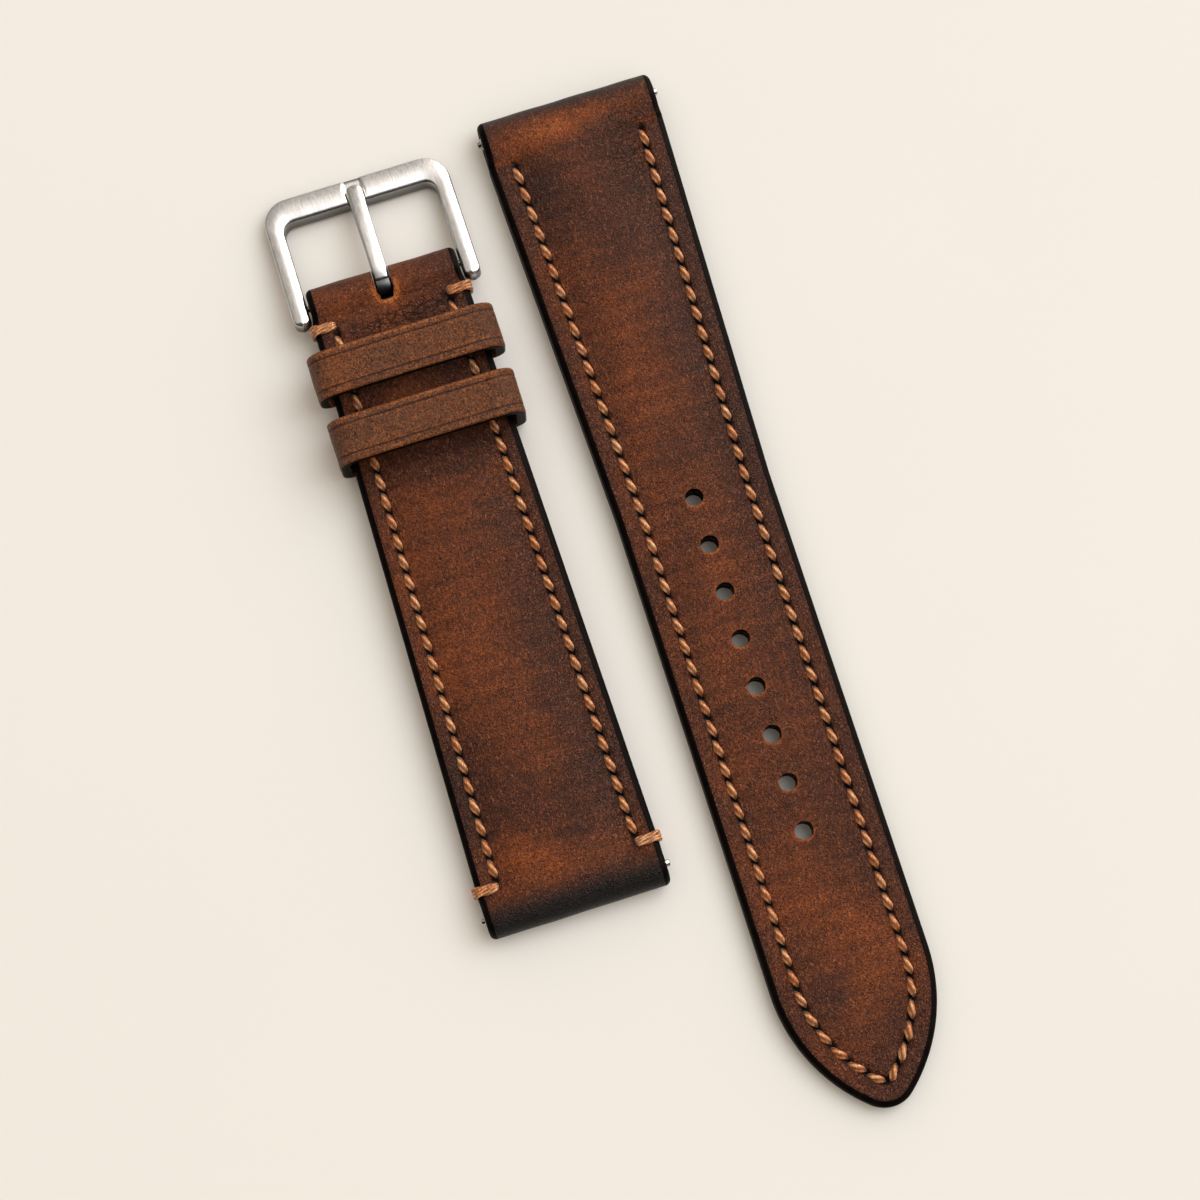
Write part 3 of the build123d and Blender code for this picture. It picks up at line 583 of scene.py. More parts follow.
class Skin:
    """Plan of a strap's leather: place across and along, distance from the edge and crown share."""

    def __init__(self, run, half, normal, inset, opening):
        ring = self.ring(inset)
        foot = ring[-1]
        crown = self.crown(opening / (half[0] - foot))
        normal_x, normal_run = normal
        side_x = half[:, None] + normal_x[:, None] * ring
        side_run = run[:, None] + normal_run[:, None] * ring
        middle_x = side_x[:, -1:] * crown[1:-1]
        middle_run = np.repeat(side_run[:, -1:], len(crown) - 2, axis=1)
        self.x = np.concatenate([-side_x, middle_x, side_x[:, ::-1]], axis=1)
        self.run = np.concatenate([side_run, middle_run, side_run[:, ::-1]], axis=1)
        share = np.concatenate([-np.ones(len(ring)), crown[1:-1], np.ones(len(ring))])
        self.share = np.repeat(share[None, :], len(run), axis=0)
        edge = np.concatenate([ring, np.full(len(crown) - 2, foot), ring[::-1]])
        self.edge = np.repeat(edge[None, :], len(run), axis=0)
        self.inset = inset
        self.middle = self.x.shape[1] // 2
        self.line_x = half + normal_x * inset
        self.line_run = run + normal_run * inset

    def ring(self, inset):
        """Distances from the edge: close over the rounded corner and the groove, wide between."""
        corner = EDGE_ROUND * np.array([0, 0.06, 0.18, 0.34, 0.54, 0.78, 1.0])
        groove = inset + GROOVE_WIDTH * np.linspace(-0.55, 0.6, 10)
        return np.concatenate([corner, stepped(corner[-1], groove[0], 0.35)[1:-1], groove])

    def crown(self, opening):
        """Shares of the crown's half width, close round a hole or slot."""
        inside = opening * np.linspace(0, 1, STEPS_IN_HOLE + 1)
        beside = opening * RINGS_BESIDE_HOLE
        right = np.concatenate([inside, beside, np.linspace(beside[-1], 1, 8)[1:]])
        return np.concatenate([-right[:0:-1], right])

    def bend_round(self, centre, radius, one_sided=False):
        """Turns the square lines round a hole into rings, on the far side only for a slot."""
        across = self.x
        along = self.run - centre
        square = np.maximum(np.abs(across), np.abs(along))
        length = np.hypot(across, along)
        pull = 1 - smooth(square, radius, RINGS_BESIDE_HOLE[-1] * radius)
        factor = 1 + pull * (square / np.where(length > 0, length, 1) - 1)
        if one_sided:
            factor = np.where(along > 0, factor, 1)
        self.x = across * factor
        self.run = centre + along * factor

    def part(self, kept):
        """The same plan with only the kept rows."""
        part = copy(self)
        for key, value in vars(self).items():
            if isinstance(value, np.ndarray):
                setattr(part, key, value[kept])
        return part


def hole_lines(centre, radius):
    """Rows that frame a hole with the same even lines as the columns."""
    rings = [-RINGS_BESIDE_HOLE[::-1], np.linspace(-1, 1, 2 * STEPS_IN_HOLE + 1), RINGS_BESIDE_HOLE]
    return list(centre + radius * np.concatenate(rings))


def fill_rows(marks, low, high, step=ROW_STEP):
    """The marked rows between two limits, with even rows filled in between them."""
    marks = sorted({low, high, *(mark for mark in marks if low < mark < high)})
    rows = [low]
    for start, end in zip(marks, marks[1:]):
        rows.extend(stepped(start, end, step)[1:] if end - start > step else [end])
    return rows


def bore_line(reach, centre, bore, level, upward):
    """Inner height beside a spring bar: round its bore, then slanting to where the layers meet."""
    round_part = 0.766 * bore
    around = sqrt(max(bore ** 2 - min(reach, round_part) ** 2, 0))
    slant = max(0.0, reach - round_part) * 1.19
    height = around - slant
    if upward:
        return max(centre + height, level)
    if level < centre - bore:
        return centre - bore + (level - centre + bore) * float(smooth(reach, 0, 2.4 * bore))
    return min(centre - height, level)


def roll_rows(end, sign, roll, ledge, margin, marks=(), sharp=0):
    """Rows round a rolled end, from its flap's end to its ledge: run, height, outward way, inner point."""
    radius, bore, centre, flap, rise, crest = roll
    rows = []

    def row(step, height, out_step, out_z, in_step, in_z):
        rows.append((end + sign * step, height, sign * out_step, out_z, end + sign * in_step, in_z))

    bottom = centre - radius
    for step in reversed(fill_rows(marks, radius, flap)):
        low = bottom * (1 - float(smooth(step, radius, rise)))
        inner = bore_line(step - radius, centre, bore, LINING_THICKNESS - FLAP_GAP, False)
        row(step, low, 0, -1, step, inner)
    for angle in np.linspace(-pi / 2, pi / 2, 17)[1:-1]:
        across, up = cos(angle), sin(angle)
        outer = (radius - radius * across, centre + radius * up)
        row(*outer, -across, up, radius - bore * across, centre + bore * up)
    for step in fill_rows(marks, radius, ledge, 0.18):
        gentle = float(smooth(step, crest - 0.1, ledge))
        steep = float(smooth(step, ledge - 0.2, ledge))
        top = centre + radius + (margin - centre - radius) * ((1 - sharp) * gentle + sharp * steep)
        inner = bore_line(step - radius, centre, bore, LINING_THICKNESS + GLUE_LINE, True)
        row(step, top, 0, 1, step, inner)
    return rows


def short_margin(run):
    """Height of the short piece's stitched margin."""
    return THIN_MARGIN + (LUG_MARGIN - THIN_MARGIN) * run / SHORT_LENGTH


def long_margin(run):
    """Height of the long piece's stitched margin."""
    return LUG_MARGIN - (LUG_MARGIN - THIN_MARGIN) * run / LONG_LENGTH


def short_half(run):
    """Half width of the short piece, flared at its lug roll and waisted at its fold."""
    first, last = SHORT_WIDTHS
    half = (first + (last - first) * run / SHORT_LENGTH) / 2
    half = FOLD_WIDTH / 2 + (half - FOLD_WIDTH / 2) * smooth(run, *FOLD_FLARE)
    return LUG_ROLL_WIDTH / 2 + (half - LUG_ROLL_WIDTH / 2) * smooth(SHORT_LENGTH - run, *SHORT_LUG_FLARE)


def long_half(run):
    """Half width of the long piece ahead of its tip."""
    first, last = LONG_WIDTHS
    half = (first + (last - first) * np.clip(run / TAPER_LENGTH, 0, 1)) / 2
    return LUG_ROLL_WIDTH / 2 + (half - LUG_ROLL_WIDTH / 2) * smooth(run, *LONG_LUG_FLARE)


def short_crest(run):
    """Height of the padded middle of the short piece, level with the lug roll at its end."""
    return np.interp(run, (0, 4.6, 7.0, 14.4, 62.0, 68.0, 73.0), (2.4, 2.5, 2.66, 3.18, 4.3, 4.4, 4.4))


def long_crest(run):
    """Height of the padded middle of the long piece, level with the lug roll at its start."""
    return np.interp(
        run, (0, 5.4, 10.0, 44.0, 60.0, 98.0, 112.0, 114.5), (4.4, 4.4, 4.38, 3.46, 3.2, 2.7, 2.5, 2.4),
    )


def flat_rows(runs, margin):
    """Rows of the upper leather where it lies flat on the lining."""
    return [(run, margin(run), 0, 1, run, LINING_THICKNESS + GLUE_LINE) for run in runs]


# Each roll's radius, bore, height of its bar, length of its flap, start of the flat flap and end of its top
LUG_ROLL = (LUG_RADIUS, LUG_BORE, LUG_RADIUS, LUG_FLAP, LUG_RADIUS + 1, LUG_CREST)
FOLD_ROLL = (FOLD_RADIUS, FOLD_BORE, FOLD_BAR_HEIGHT, FOLD_FLAP, FOLD_LEDGE, FOLD_CREST)


def short_rows():
    """Rows of the short piece's upper leather, from its lug flap over the top to its buckle flap."""
    lug = roll_rows(
        SHORT_LENGTH, -1, LUG_ROLL, SHORT_LUG_LEDGE, short_margin(SHORT_LENGTH - SHORT_LUG_LEDGE),
    )
    slot = hole_lines(SLOT_CENTRE, SLOT_RADIUS)
    fold = roll_rows(0, 1, FOLD_ROLL, FOLD_LEDGE, short_margin(FOLD_LEDGE), slot)
    marks = [CHANNEL[0] - GLUE_LINE, CHANNEL[0], CHANNEL[1], CHANNEL[1] + GLUE_LINE, *slot]
    top = flat_rows(reversed(fill_rows(marks, *SHORT_TOP)), short_margin)
    return np.array(lug + top + fold[::-1])


def long_rows():
    """Rows of the long piece's upper leather, from its lug flap to where its tip begins to curve."""
    lug = roll_rows(0, 1, LUG_ROLL, LONG_LUG_LEDGE, long_margin(LONG_LUG_LEDGE), sharp=0.25)
    marks = [line for centre in HOLE_RUNS for line in hole_lines(centre, HOLE_RADIUS)]
    marks.append(TAPER_LENGTH)
    return np.array(lug + flat_rows(fill_rows(marks, LONG_TOP_START, tip_start - 0.3), long_margin))


def rows_on_top(rows, first, last):
    """Rows of a strap's upper face between two runs."""
    upper = (rows[:, 3] > 0.99) & (rows[:, 1] > 2)
    return np.nonzero(upper & (rows[:, 0] > first) & (rows[:, 0] < last))[0]


tip_centre_run = LONG_LENGTH - TIP_ROUND_RADIUS
tip_side_x = LONG_WIDTHS[1] / 2 - TIP_SIDE_RADIUS
tip_slide = sqrt((TIP_SIDE_RADIUS - TIP_ROUND_RADIUS) ** 2 - tip_side_x ** 2)
tip_start = tip_centre_run - tip_slide
tip_turn = atan2(tip_slide, -tip_side_x)


def tip_outline():
    """Edge of the long piece's pointed tip: run, half width and the way inwards."""
    side = np.linspace(0, tip_turn, 44)
    end = np.linspace(tip_turn, pi / 2, 9)[1:]
    half = np.concatenate([tip_side_x + TIP_SIDE_RADIUS * np.cos(side), TIP_ROUND_RADIUS * np.cos(end)])
    run = np.concatenate([
        tip_start + TIP_SIDE_RADIUS * np.sin(side), tip_centre_run + TIP_ROUND_RADIUS * np.sin(end),
    ])
    angle = np.concatenate([side, end])
    return run, half, (-np.cos(angle), -np.sin(angle))


def stitch_share(skin, start, end):
    """Share of the stitched path reached at each row, by its run along the stitch line."""
    order = np.argsort(skin.line_run)
    run = skin.line_run[order]
    x = skin.line_x[order]
    length = np.concatenate([[0], np.cumsum(np.hypot(np.diff(x), np.diff(run)))])
    first, last = np.interp((start, end), run, length)
    return (np.interp(skin.line_run, run, length) - first) / (last - first), last - first


def groove(skin, start, end):
    """Share of the stitch groove's depth at each point, with soft ends."""
    away = np.clip(np.abs(skin.edge - skin.inset) / (GROOVE_WIDTH / 2), 0, 1)
    channel = (1 + np.cos(pi * away)) / 2
    return channel ** 0.8 * smooth(skin.run, start - 0.7, start) * (1 - smooth(skin.run, end, end + 0.7))


def needle_holes(skin, start, end):
    """1 at each needle hole on the stitch line, falling off round it."""
    share, length = stitch_share(skin, start, end)
    count = round(length / STITCH_PITCH)
    phase = share[:, None] * count
    near = np.abs(phase - np.round(phase)) * length / count
    inside = (phase > -0.3) & (phase < count + 0.3)
    return np.where(inside, np.exp(-((near / 0.46) ** 2) - ((skin.edge - skin.inset) / 0.44) ** 2), 0)


def corner_drop(edge, radius):
    """How far a rounded edge has fallen at a distance in from it."""
    reach = np.clip(radius - edge, 0, radius)
    return radius - np.sqrt(np.maximum(radius ** 2 - reach ** 2, 0))


def hand_worked(x, run, seed):
    """Slow unevenness of hand-finished leather, a few hundredths of a millimetre."""
    relief = np.zeros(np.broadcast(x, run).shape)
    for index in range(6):
        angle = seed + index * 2.4
        wave = 2 * pi / (3.1 + 2.3 * index)
        relief += np.sin(wave * (x * cos(angle) + run * sin(angle)) + 3 * index) * 0.009
    return relief


def blots(x, run, spots):
    """Sum of soft spots given as (x, run, half width, half length, amount)."""
    total = np.zeros_like(x)
    for spot_x, spot_run, wide, long, amount in spots:
        total += amount * np.exp(-(((x - spot_x) / wide) ** 2) - ((run - spot_run) / long) ** 2)
    return total


def upper_leather(name, skin, rows, crest, stitched, cavity, place, gone, seam, patina_and_painted_light, shade, bent):
    """Upper leather as a closed sheet: rounded edges, stitch groove, crown and a hollow for the pad."""
    along, height, out_run, out_z, inner_along, inner_height = (column[:, None] for column in rows.T)
    top = out_z > 0.99
    pressed = groove(skin, *stitched)
    pricked = needle_holes(skin, *stitched)
    crown = np.where(top, np.maximum(crest(skin.run) - height, 0), 0)
    crown = crown * (1 - np.abs(skin.share) ** CROWN_POWER)
    lift = crown - GROOVE_DEPTH * pressed - NEEDLE_HOLE_DEPTH * pricked - corner_drop(skin.edge, EDGE_ROUND)
    lift = lift + hand_worked(skin.x, skin.run, 1.0)
    outer_z = np.maximum(height + out_z * lift, 0)
    outer = np.stack([skin.x, -(skin.run + out_run * lift), outer_z], axis=-1)
    inner_z = np.where(top, inner_height + cavity(skin, outer_z - inner_height), inner_height)
    inner = np.stack([skin.x, -(inner_along + (skin.run - along)), inner_z], axis=-1)
    margin = 1 - smooth(skin.edge, 0.35, 1.0)
    # painted shade in the needle holes and the stitch groove, the margin darker where its edge is
    # burnished, and the painted shade passed in
    darkened = np.clip(1.25 * pricked + 0.5 * pressed ** 2 + 0.7 * margin + shade, 0, 1)
    return add_sheet(
        name, outer, inner, place, (strap_calf, strap_edge), gone=gone, seam=seam, edge_columns=6,
        marks={"patina_and_painted_light": patina_and_painted_light, "shade": darkened, "bent": bent},
    )


def pad_hollow(skin, rise, first, last):
    """Height of the hollow for the pad under the crown, at each point."""
    inside = 1 - smooth(np.abs(skin.share), 0.84, 0.93)
    inside = inside * smooth(skin.run, first - 0.2, first + 0.25)
    inside = inside * (1 - smooth(skin.run, last - 0.25, last + 0.2))
    return np.maximum(rise - UPPER_THICKNESS, 0) * inside


def lining(name, skin, kept, stitched, place, gone, seam):
    """Lining under the kept rows of the strap, with its own stitch groove and rounded lower edge."""
    part = skin.part(kept)
    lift = LINING_GROOVE_DEPTH * groove(part, *stitched) + corner_drop(part.edge, LINING_EDGE_ROUND)
    outer = np.stack([part.x, -part.run, lift], axis=-1)
    inner = np.stack([part.x, -part.run, np.full_like(part.x, LINING_THICKNESS)], axis=-1)
    return add_sheet(
        name, outer, inner, place, (lining_calf, strap_edge), gone=gone[kept][:len(part.x) - 1], seam=seam,
        edge_columns=3,
    )


def padding(name, skin, rows, crest, padded, place):
    """Felt pad that fills the hollow under the crown, thinned towards its edges."""
    first, last = padded
    kept = rows_on_top(rows, first, last)[::3]
    columns = np.nonzero(np.abs(skin.share[kept[0]]) < 0.9)[0]
    pick = np.ix_(kept, columns)
    x = skin.x[pick]
    run = skin.run[pick]
    share = np.abs(skin.share[pick])
    margin = rows[kept, 1][:, None]
    base = LINING_THICKNESS + PAD_GAP
    rim = base + PAD_RIM
    top = margin + (crest(run) - margin) * (1 - share ** CROWN_POWER) - UPPER_THICKNESS - PAD_TOP_GAP
    ends = smooth(run, first, first + 0.8) * (1 - smooth(run, last - 0.8, last))
    taper = (1 - smooth(share, 0.7, 0.86)) * ends
    outer = np.stack([x, -run, rim + np.maximum(top - rim, 0) * taper], axis=-1)
    inner = np.stack([x, -run, np.full_like(x, base)], axis=-1)
    piece = add_sheet(name, outer, inner, place, (filler, filler))
    return piece


def cut_out(skin, layout, centre, reach, low):
    """Cells inside a hole or slot, from the row at low to the one at centre + reach."""
    run = layout[:, 0]
    before_end = np.maximum(run[:-1], run[1:]) < centre + reach + 0.01
    rows = before_end & (np.minimum(run[:-1], run[1:]) > low - 0.01)
    gone = np.zeros((len(run) - 1, skin.x.shape[1] - 1), bool)
    gone[rows, skin.middle - STEPS_IN_HOLE:skin.middle + STEPS_IN_HOLE] = True
    return gone


def dress_strap(side, matrix, skin, rows, crest, stitched, padded, cavity, gone, kept, seam, looks):
    """Upper leather, lining and pad of one strap; kept are the lining's rows, looks the upper's marks."""
    body = f"{side}_strap"
    upper_place = (matrix, body, "upper_leather", f"{side}_upper_leather")
    lining_place = (matrix, body, "lining_leather", f"{side}_lining")
    padding_place = (matrix, body, "padding", f"{side}_padding")
    upper_leather(
        f"{side}_calf_upper", skin, rows, crest, stitched, cavity, upper_place, gone, seam, *looks,
    )
    lining(f"{side}_calf_lining", skin, kept, stitched, lining_place, gone, seam)
    padding(f"{side}_felt_padding", skin, rows, crest, padded, padding_place)


# Short piece

short_layout = short_rows()
short_skin = Skin(
    short_layout[:, 0], short_half(short_layout[:, 0]),
    (-np.ones(len(short_layout)), np.zeros(len(short_layout))), SHORT_INSET, SLOT_RADIUS,
)
short_skin.bend_round(SLOT_CENTRE, SLOT_RADIUS, one_sided=True)
short_pad = (PAD_START, SHORT_LENGTH - PAD_LUG_DISTANCE)


short_gone = cut_out(short_skin, short_layout, SLOT_CENTRE, SLOT_RADIUS, -1)


def short_cavity(skin, rise):
    """Hollow for the pad, and the channel that holds the fixed keeper's band."""
    hollow = pad_hollow(skin, rise, *short_pad)
    in_channel = (skin.run > CHANNEL[0] - 0.01) & (skin.run < CHANNEL[1] + 0.01)
    return np.where(in_channel, CHANNEL_TOP - LINING_THICKNESS - GLUE_LINE, hollow)


def short_patina_and_shade(x, run):
    """Where the short piece is rubbed light or burnished dark, with painted shadow below the free keeper
    and painted shade on its lug end.
    """
    # the dark spot at run 22.5 is painted shadow below the free keeper, the one at run 73 painted shade on
    # the lug end
    spots = (
        (-3.0, 34.0, 6.0, 16.0, 0.22), (-1.0, 52.0, 7.0, 10.0, 0.1), (-5.0, 66.0, 6.0, 3.2, 0.24),
        (4.0, 67.5, 7.0, 2.0, 0.2), (7.0, 40.0, 3.0, 30.0, -0.06), (5.5, 56.0, 3.5, 7.0, -0.1),
        (0.0, 15.0, 6.0, 3.0, 0.12), (-6.0, 2.5, 3.0, 2.0, 0.16), (0.0, 22.5, 9.0, 2.5, -0.16),
        (-8.0, 60.0, 1.6, 12.0, -0.12), (0.0, 4.0, 9.0, 3.5, 0.14), (0.0, 73.0, 14.0, 2.2, -0.45),
    )
    return 0.36 + blots(x, run, spots)


def slot_rub(x, run):
    """Cognac halo where the tang rubs the slot's end."""
    away = np.hypot(x, np.maximum(run - SLOT_CENTRE, 0)) - SLOT_RADIUS
    return np.where(run > 1.5, np.exp(-((away - 0.12) / 0.28) ** 2), 0) * smooth(run, 1.2, 2.8)


def tack_hole_shade(x, run):
    """Painted shade in the holes where the bar tacks dive in at their inner ends."""
    places = [(float(short_half(at)) - SHORT_INSET - 0.12, at) for at in TACK_RUNS]
    spots = [(side * inner, at, 0.36, 0.42, 1.0) for inner, at in places for side in (1, -1)]
    return blots(x, run, spots)


def fold_bend(x, run):
    """Where the leather has cracked finely as it bends down from the fold."""
    return blots(x, run, ((2.6, 6.0, 5.0, 1.6, 1.0), (-3.0, 6.4, 4.0, 1.0, 0.6)))


def lug_end_shade(run):
    """Painted shade that blackens the lug end round to its underside."""
    return 0.97 * smooth(run, 69.0, 71.8)


short_lined = rows_on_top(short_layout, FOLD_FLAP, SHORT_LENGTH - LUG_FLAP)
dress_strap(
    "short", short_matrix, short_skin, short_layout, short_crest, SHORT_STITCHES, short_pad, short_cavity,
    short_gone, slice(short_lined[0], short_lined[-1] + 1), False, (
        short_patina_and_shade(short_skin.x, short_skin.run) + 0.55 * slot_rub(short_skin.x, short_skin.run),
        lug_end_shade(short_skin.run) + tack_hole_shade(short_skin.x, short_skin.run),
        fold_bend(short_skin.x, short_skin.run),
    ),
)


# Long piece

long_layout = long_rows()
tip_run, tip_half, tip_normal = tip_outline()
straight = len(long_layout)
long_layout = np.concatenate([long_layout, np.array(flat_rows(tip_run, long_margin))])
long_skin = Skin(
    long_layout[:, 0], np.concatenate([long_half(long_layout[:straight, 0]), tip_half]),
    (
        np.concatenate([-np.ones(straight), tip_normal[0]]),
        np.concatenate([np.zeros(straight), tip_normal[1]]),
    ),
    LONG_INSET,
    2 * HOLE_RADIUS * (LONG_WIDTHS[0] / 2 - LONG_CROWN_INSET) / (LONG_WIDTHS[1] - 2 * LONG_CROWN_INSET),
)
for hole_run in HOLE_RUNS:
    long_skin.bend_round(hole_run, HOLE_RADIUS)
long_stitches = (LONG_STITCH_START, LONG_LENGTH - LONG_INSET)
long_pad = (PAD_LUG_DISTANCE, LONG_PAD_END)
long_gone = np.any(
    [cut_out(long_skin, long_layout, run, HOLE_RADIUS, run - HOLE_RADIUS) for run in HOLE_RUNS], axis=0,
)


def long_cavity(skin, rise):
    """Hollow for the pad."""
    return pad_hollow(skin, rise, *long_pad)


def long_patina_and_end_shade(x, run):
    """Where the long piece is rubbed light or burnished dark, with painted shade on its lug end."""
    spots = (
        (-3.5, 3.6, 6.5, 1.8, 0.4), (3.5, 2.9, 4.0, 1.0, 0.25), (-6.0, 9.0, 3.0, 4.0, -0.18),
        (5.5, 12.0, 4.5, 9.0, -0.12), (-2.0, 24.0, 5.0, 12.0, 0.16), (6.5, 30.0, 3.0, 16.0, -0.08),
        (-1.0, 48.0, 6.0, 14.0, 0.14), (0.0, 74.0, 6.0, 10.0, 0.1), (-3.0, 90.0, 5.0, 7.0, 0.22),
        (2.5, 99.0, 4.0, 6.0, 0.2), (-1.0, 106.0, 4.0, 4.0, 0.12), (6.0, 60.0, 2.5, 30.0, -0.08),
        # painted shade on the lug end
        (0.0, 0.2, 14.0, 0.9, -0.4),
    )
    return 0.36 + blots(x, run, spots)


def ledge_wear(x, run):
    """Fine orange crease where the roll steps down to the stitched margin."""
    return np.exp(-(((run - 5.25) / 0.12) ** 2)) * smooth(np.abs(x), 6.2, 7.6)


def hole_rub_and_highlight(x, run):
    """Pale rim round the punched holes, towards the tip and the left: rub where the tang pulls, and a
    painted highlight.
    """
    rub = np.zeros_like(x)
    for centre in HOLE_RUNS:
        away = np.hypot(x, run - centre) - HOLE_RADIUS
        # the lean to the left is a painted highlight on the rims that face the lamp
        side = 0.55 + 0.45 * np.clip((run - centre - 0.4 * x) / HOLE_RADIUS, -1, 1)
        rub += np.exp(-((away - 0.08) / 0.2) ** 2) * side
    return rub


def long_bend(x, run):
    """Where the leather has cracked finely behind the roll, on the right."""
    return blots(x, run, ((5.0, 8.0, 2.6, 3.4, 0.75),))


dress_strap(
    "long", long_matrix, long_skin, long_layout, long_crest, long_stitches, long_pad, long_cavity,
    long_gone, slice(rows_on_top(long_layout, LUG_FLAP, LONG_LENGTH)[0], None), True, (
        long_patina_and_end_shade(long_skin.x, long_skin.run) + 0.35 * hole_rub_and_highlight(long_skin.x, long_skin.run)
        + 0.35 * ledge_wear(long_skin.x, long_skin.run),
        # painted shade on the end of the lug roll
        0.6 * (1 - smooth(long_skin.run, 0.3, 1.5)),
        long_bend(long_skin.x, long_skin.run),
    ),
)


# Stitches


def spindle(name, height, width, length, dip):
    """One stitch of three twisted plies along y: plump in the middle, its ends diving into their holes."""
    rows = np.linspace(-1, 1, 11)
    across = 12
    angles = np.linspace(0, 2 * pi, across, endpoint=False)
    points, ply, ends = [], [], []
    for place in rows:
        girth = max(0.14, (1 - abs(place) ** 2.3) ** 0.72)
        sink = dip * abs(place) ** 3
        for angle in angles:
            lobe = cos(3 * angle)
            turned = angle + 1.2 * place
            swell = girth * (1 + 0.18 * lobe)
            x = width / 2 * swell * cos(turned)
            z = height / 2 * swell * sin(turned) - sink
            points.append((x, place * length / 2, z))
            # the ply and end marks place painted shade between the plies and where the ends dive into their
            # holes
            ply.append(0.5 - 0.5 * lobe)
            ends.append(float(smooth(abs(place), 0.45, 1.0)) * 0.85)
    mesh = bpy.data.meshes.new(name)
    mesh.from_pydata(points, [], ring_faces(len(rows), across))
    for key, values in (("ply", ply), ("thread_end_shade", ends)):
        mesh.attributes.new(key, "FLOAT", "POINT").data.foreach_set("value", values)
    close_seams(mesh)
    return new_object(name, mesh)


def sewing_tree():
    """Geometry nodes that lay stitches end to end along a seam, each slanted and a little different."""
    tree = bpy.data.node_groups.new("saddle_stitching", "GeometryNodeTree")
    sockets = (
        ("Seam", "NodeSocketGeometry"), ("Stitch", "NodeSocketObject"), ("Count", "NodeSocketInt"),
        ("Slant", "NodeSocketFloat"), ("Unevenness", "NodeSocketFloat"), ("Thread", "NodeSocketMaterial"),
    )
    for name, kind in sockets:
        tree.interface.new_socket(name, in_out="INPUT", socket_type=kind)
    tree.interface.new_socket("Stitches", in_out="OUTPUT", socket_type="NodeSocketGeometry")
    given = add(tree, "NodeGroupInput")
    line = add(tree, "GeometryNodeMeshToCurve", {"Mesh": given.outputs["Seam"]})
    points = add(tree, "GeometryNodeResampleCurve", {"Curve": line, "Count": given.outputs["Count"]})
    stitch = add(tree, "GeometryNodeObjectInfo", {"Object": given.outputs["Stitch"]}).outputs["Geometry"]
    heading = add(tree, "GeometryNodeInputTangent")
    aligned = add(
        tree, "FunctionNodeAlignRotationToVector", {"Vector": heading}, axis="Y", pivot_axis="Z",
    )
    small = add(tree, "Math", {0: given.outputs["Unevenness"], 1: -1.0}, operation="MULTIPLY")
    wobble = add(
        tree, "FunctionNodeRandomValue", {2: small, 3: given.outputs["Unevenness"], "Seed": 7},
        data_type="FLOAT",
    )
    slant = add(tree, "Math", {0: given.outputs["Slant"], 1: wobble.outputs[1]}, operation="ADD")
    turn = add(tree, "CombineXYZ", {"Z": slant})
    as_turn = add(tree, "FunctionNodeEulerToRotation", {"Euler": turn})
    rotation = add(
        tree, "FunctionNodeRotateRotation", {"Rotation": aligned, "Rotate By": as_turn},
        rotation_space="LOCAL",
    )
    low = add(tree, "Math", {0: 1.0, 1: given.outputs["Unevenness"]}, operation="SUBTRACT")
    size = add(
        tree, "FunctionNodeRandomValue", {2: low, 3: 1.0, "Seed": 3}, data_type="FLOAT",
    )
    laid = add(tree, "GeometryNodeInstanceOnPoints", {
        "Points": points, "Instance": stitch,
        "Rotation": rotation, "Scale": size.outputs[1],
    })
    real = add(tree, "GeometryNodeRealizeInstances", {"Geometry": laid})
    dressed = add(tree, "GeometryNodeSetMaterial", {
        "Geometry": real, "Material": given.outputs["Thread"],
    })
    add(tree, "NodeGroupOutput", {0: dressed})
    return tree


sewing = sewing_tree()


def sew(name, seams, stitch, place):
    """Rows of stitches along seams given as (points, count), joined into one piece."""
    matrix, body, slot, node = place
    joined = bmesh.new()
    for points, count in seams:
        line = bpy.data.meshes.new("seam")
        links = [(start, start + 1) for start in range(len(points) - 1)]
        line.from_pydata([tuple(point) for point in points], links, [])
        row = new_object("seam", line)
        modifier = row.modifiers.new("sewing", "NODES")
        modifier.node_group = sewing
        values = {
            "Stitch": stitch, "Count": count, "Slant": STITCH_SLANT, "Unevenness": STITCH_UNEVENNESS,
            "Thread": linen,
        }
        for item in sewing.interface.items_tree:
            if item.name in values:
                modifier[item.identifier] = values[item.name]
        shown = row.evaluated_get(bpy.context.evaluated_depsgraph_get())
        mesh = bpy.data.meshes.new_from_object(shown)
        row.modifiers.remove(modifier)
        joined.from_mesh(mesh)
        bpy.data.objects.remove(row)
    mesh = bpy.data.meshes.new(name)
    joined.to_mesh(mesh)
    joined.free()
    mesh.materials.append(linen)
    return place_piece(name, mesh, matrix, body, node)


def seam_lines(skin, stitched, margin=None):
    """Both stitch lines of a strap, on the top of its margin or else on its underside."""
    share, length = stitch_share(skin, *stitched)
    count = round(length / STITCH_PITCH)
    order = np.argsort(skin.line_run)
    # from the middle of the first stitch to that of the last
    at = np.linspace(0.5 / count, 1 - 0.5 / count, 300)
    x = np.interp(at, share[order], skin.line_x[order])
    run = np.interp(at, share[order], skin.line_run[order])
    z = margin(run) - GROOVE_DEPTH + TOP_THREAD_RISE if margin else np.full_like(run, UNDER_THREAD_HEIGHT)
    return [(np.stack([side * x, -run, z], axis=-1), count) for side in (1, -1)]


top_stitch = spindle("top_stitch", 0.76, 0.82, 2.24, 0.34)
under_stitch = spindle("under_stitch", 0.4, 0.62, 2.2, -0.14)

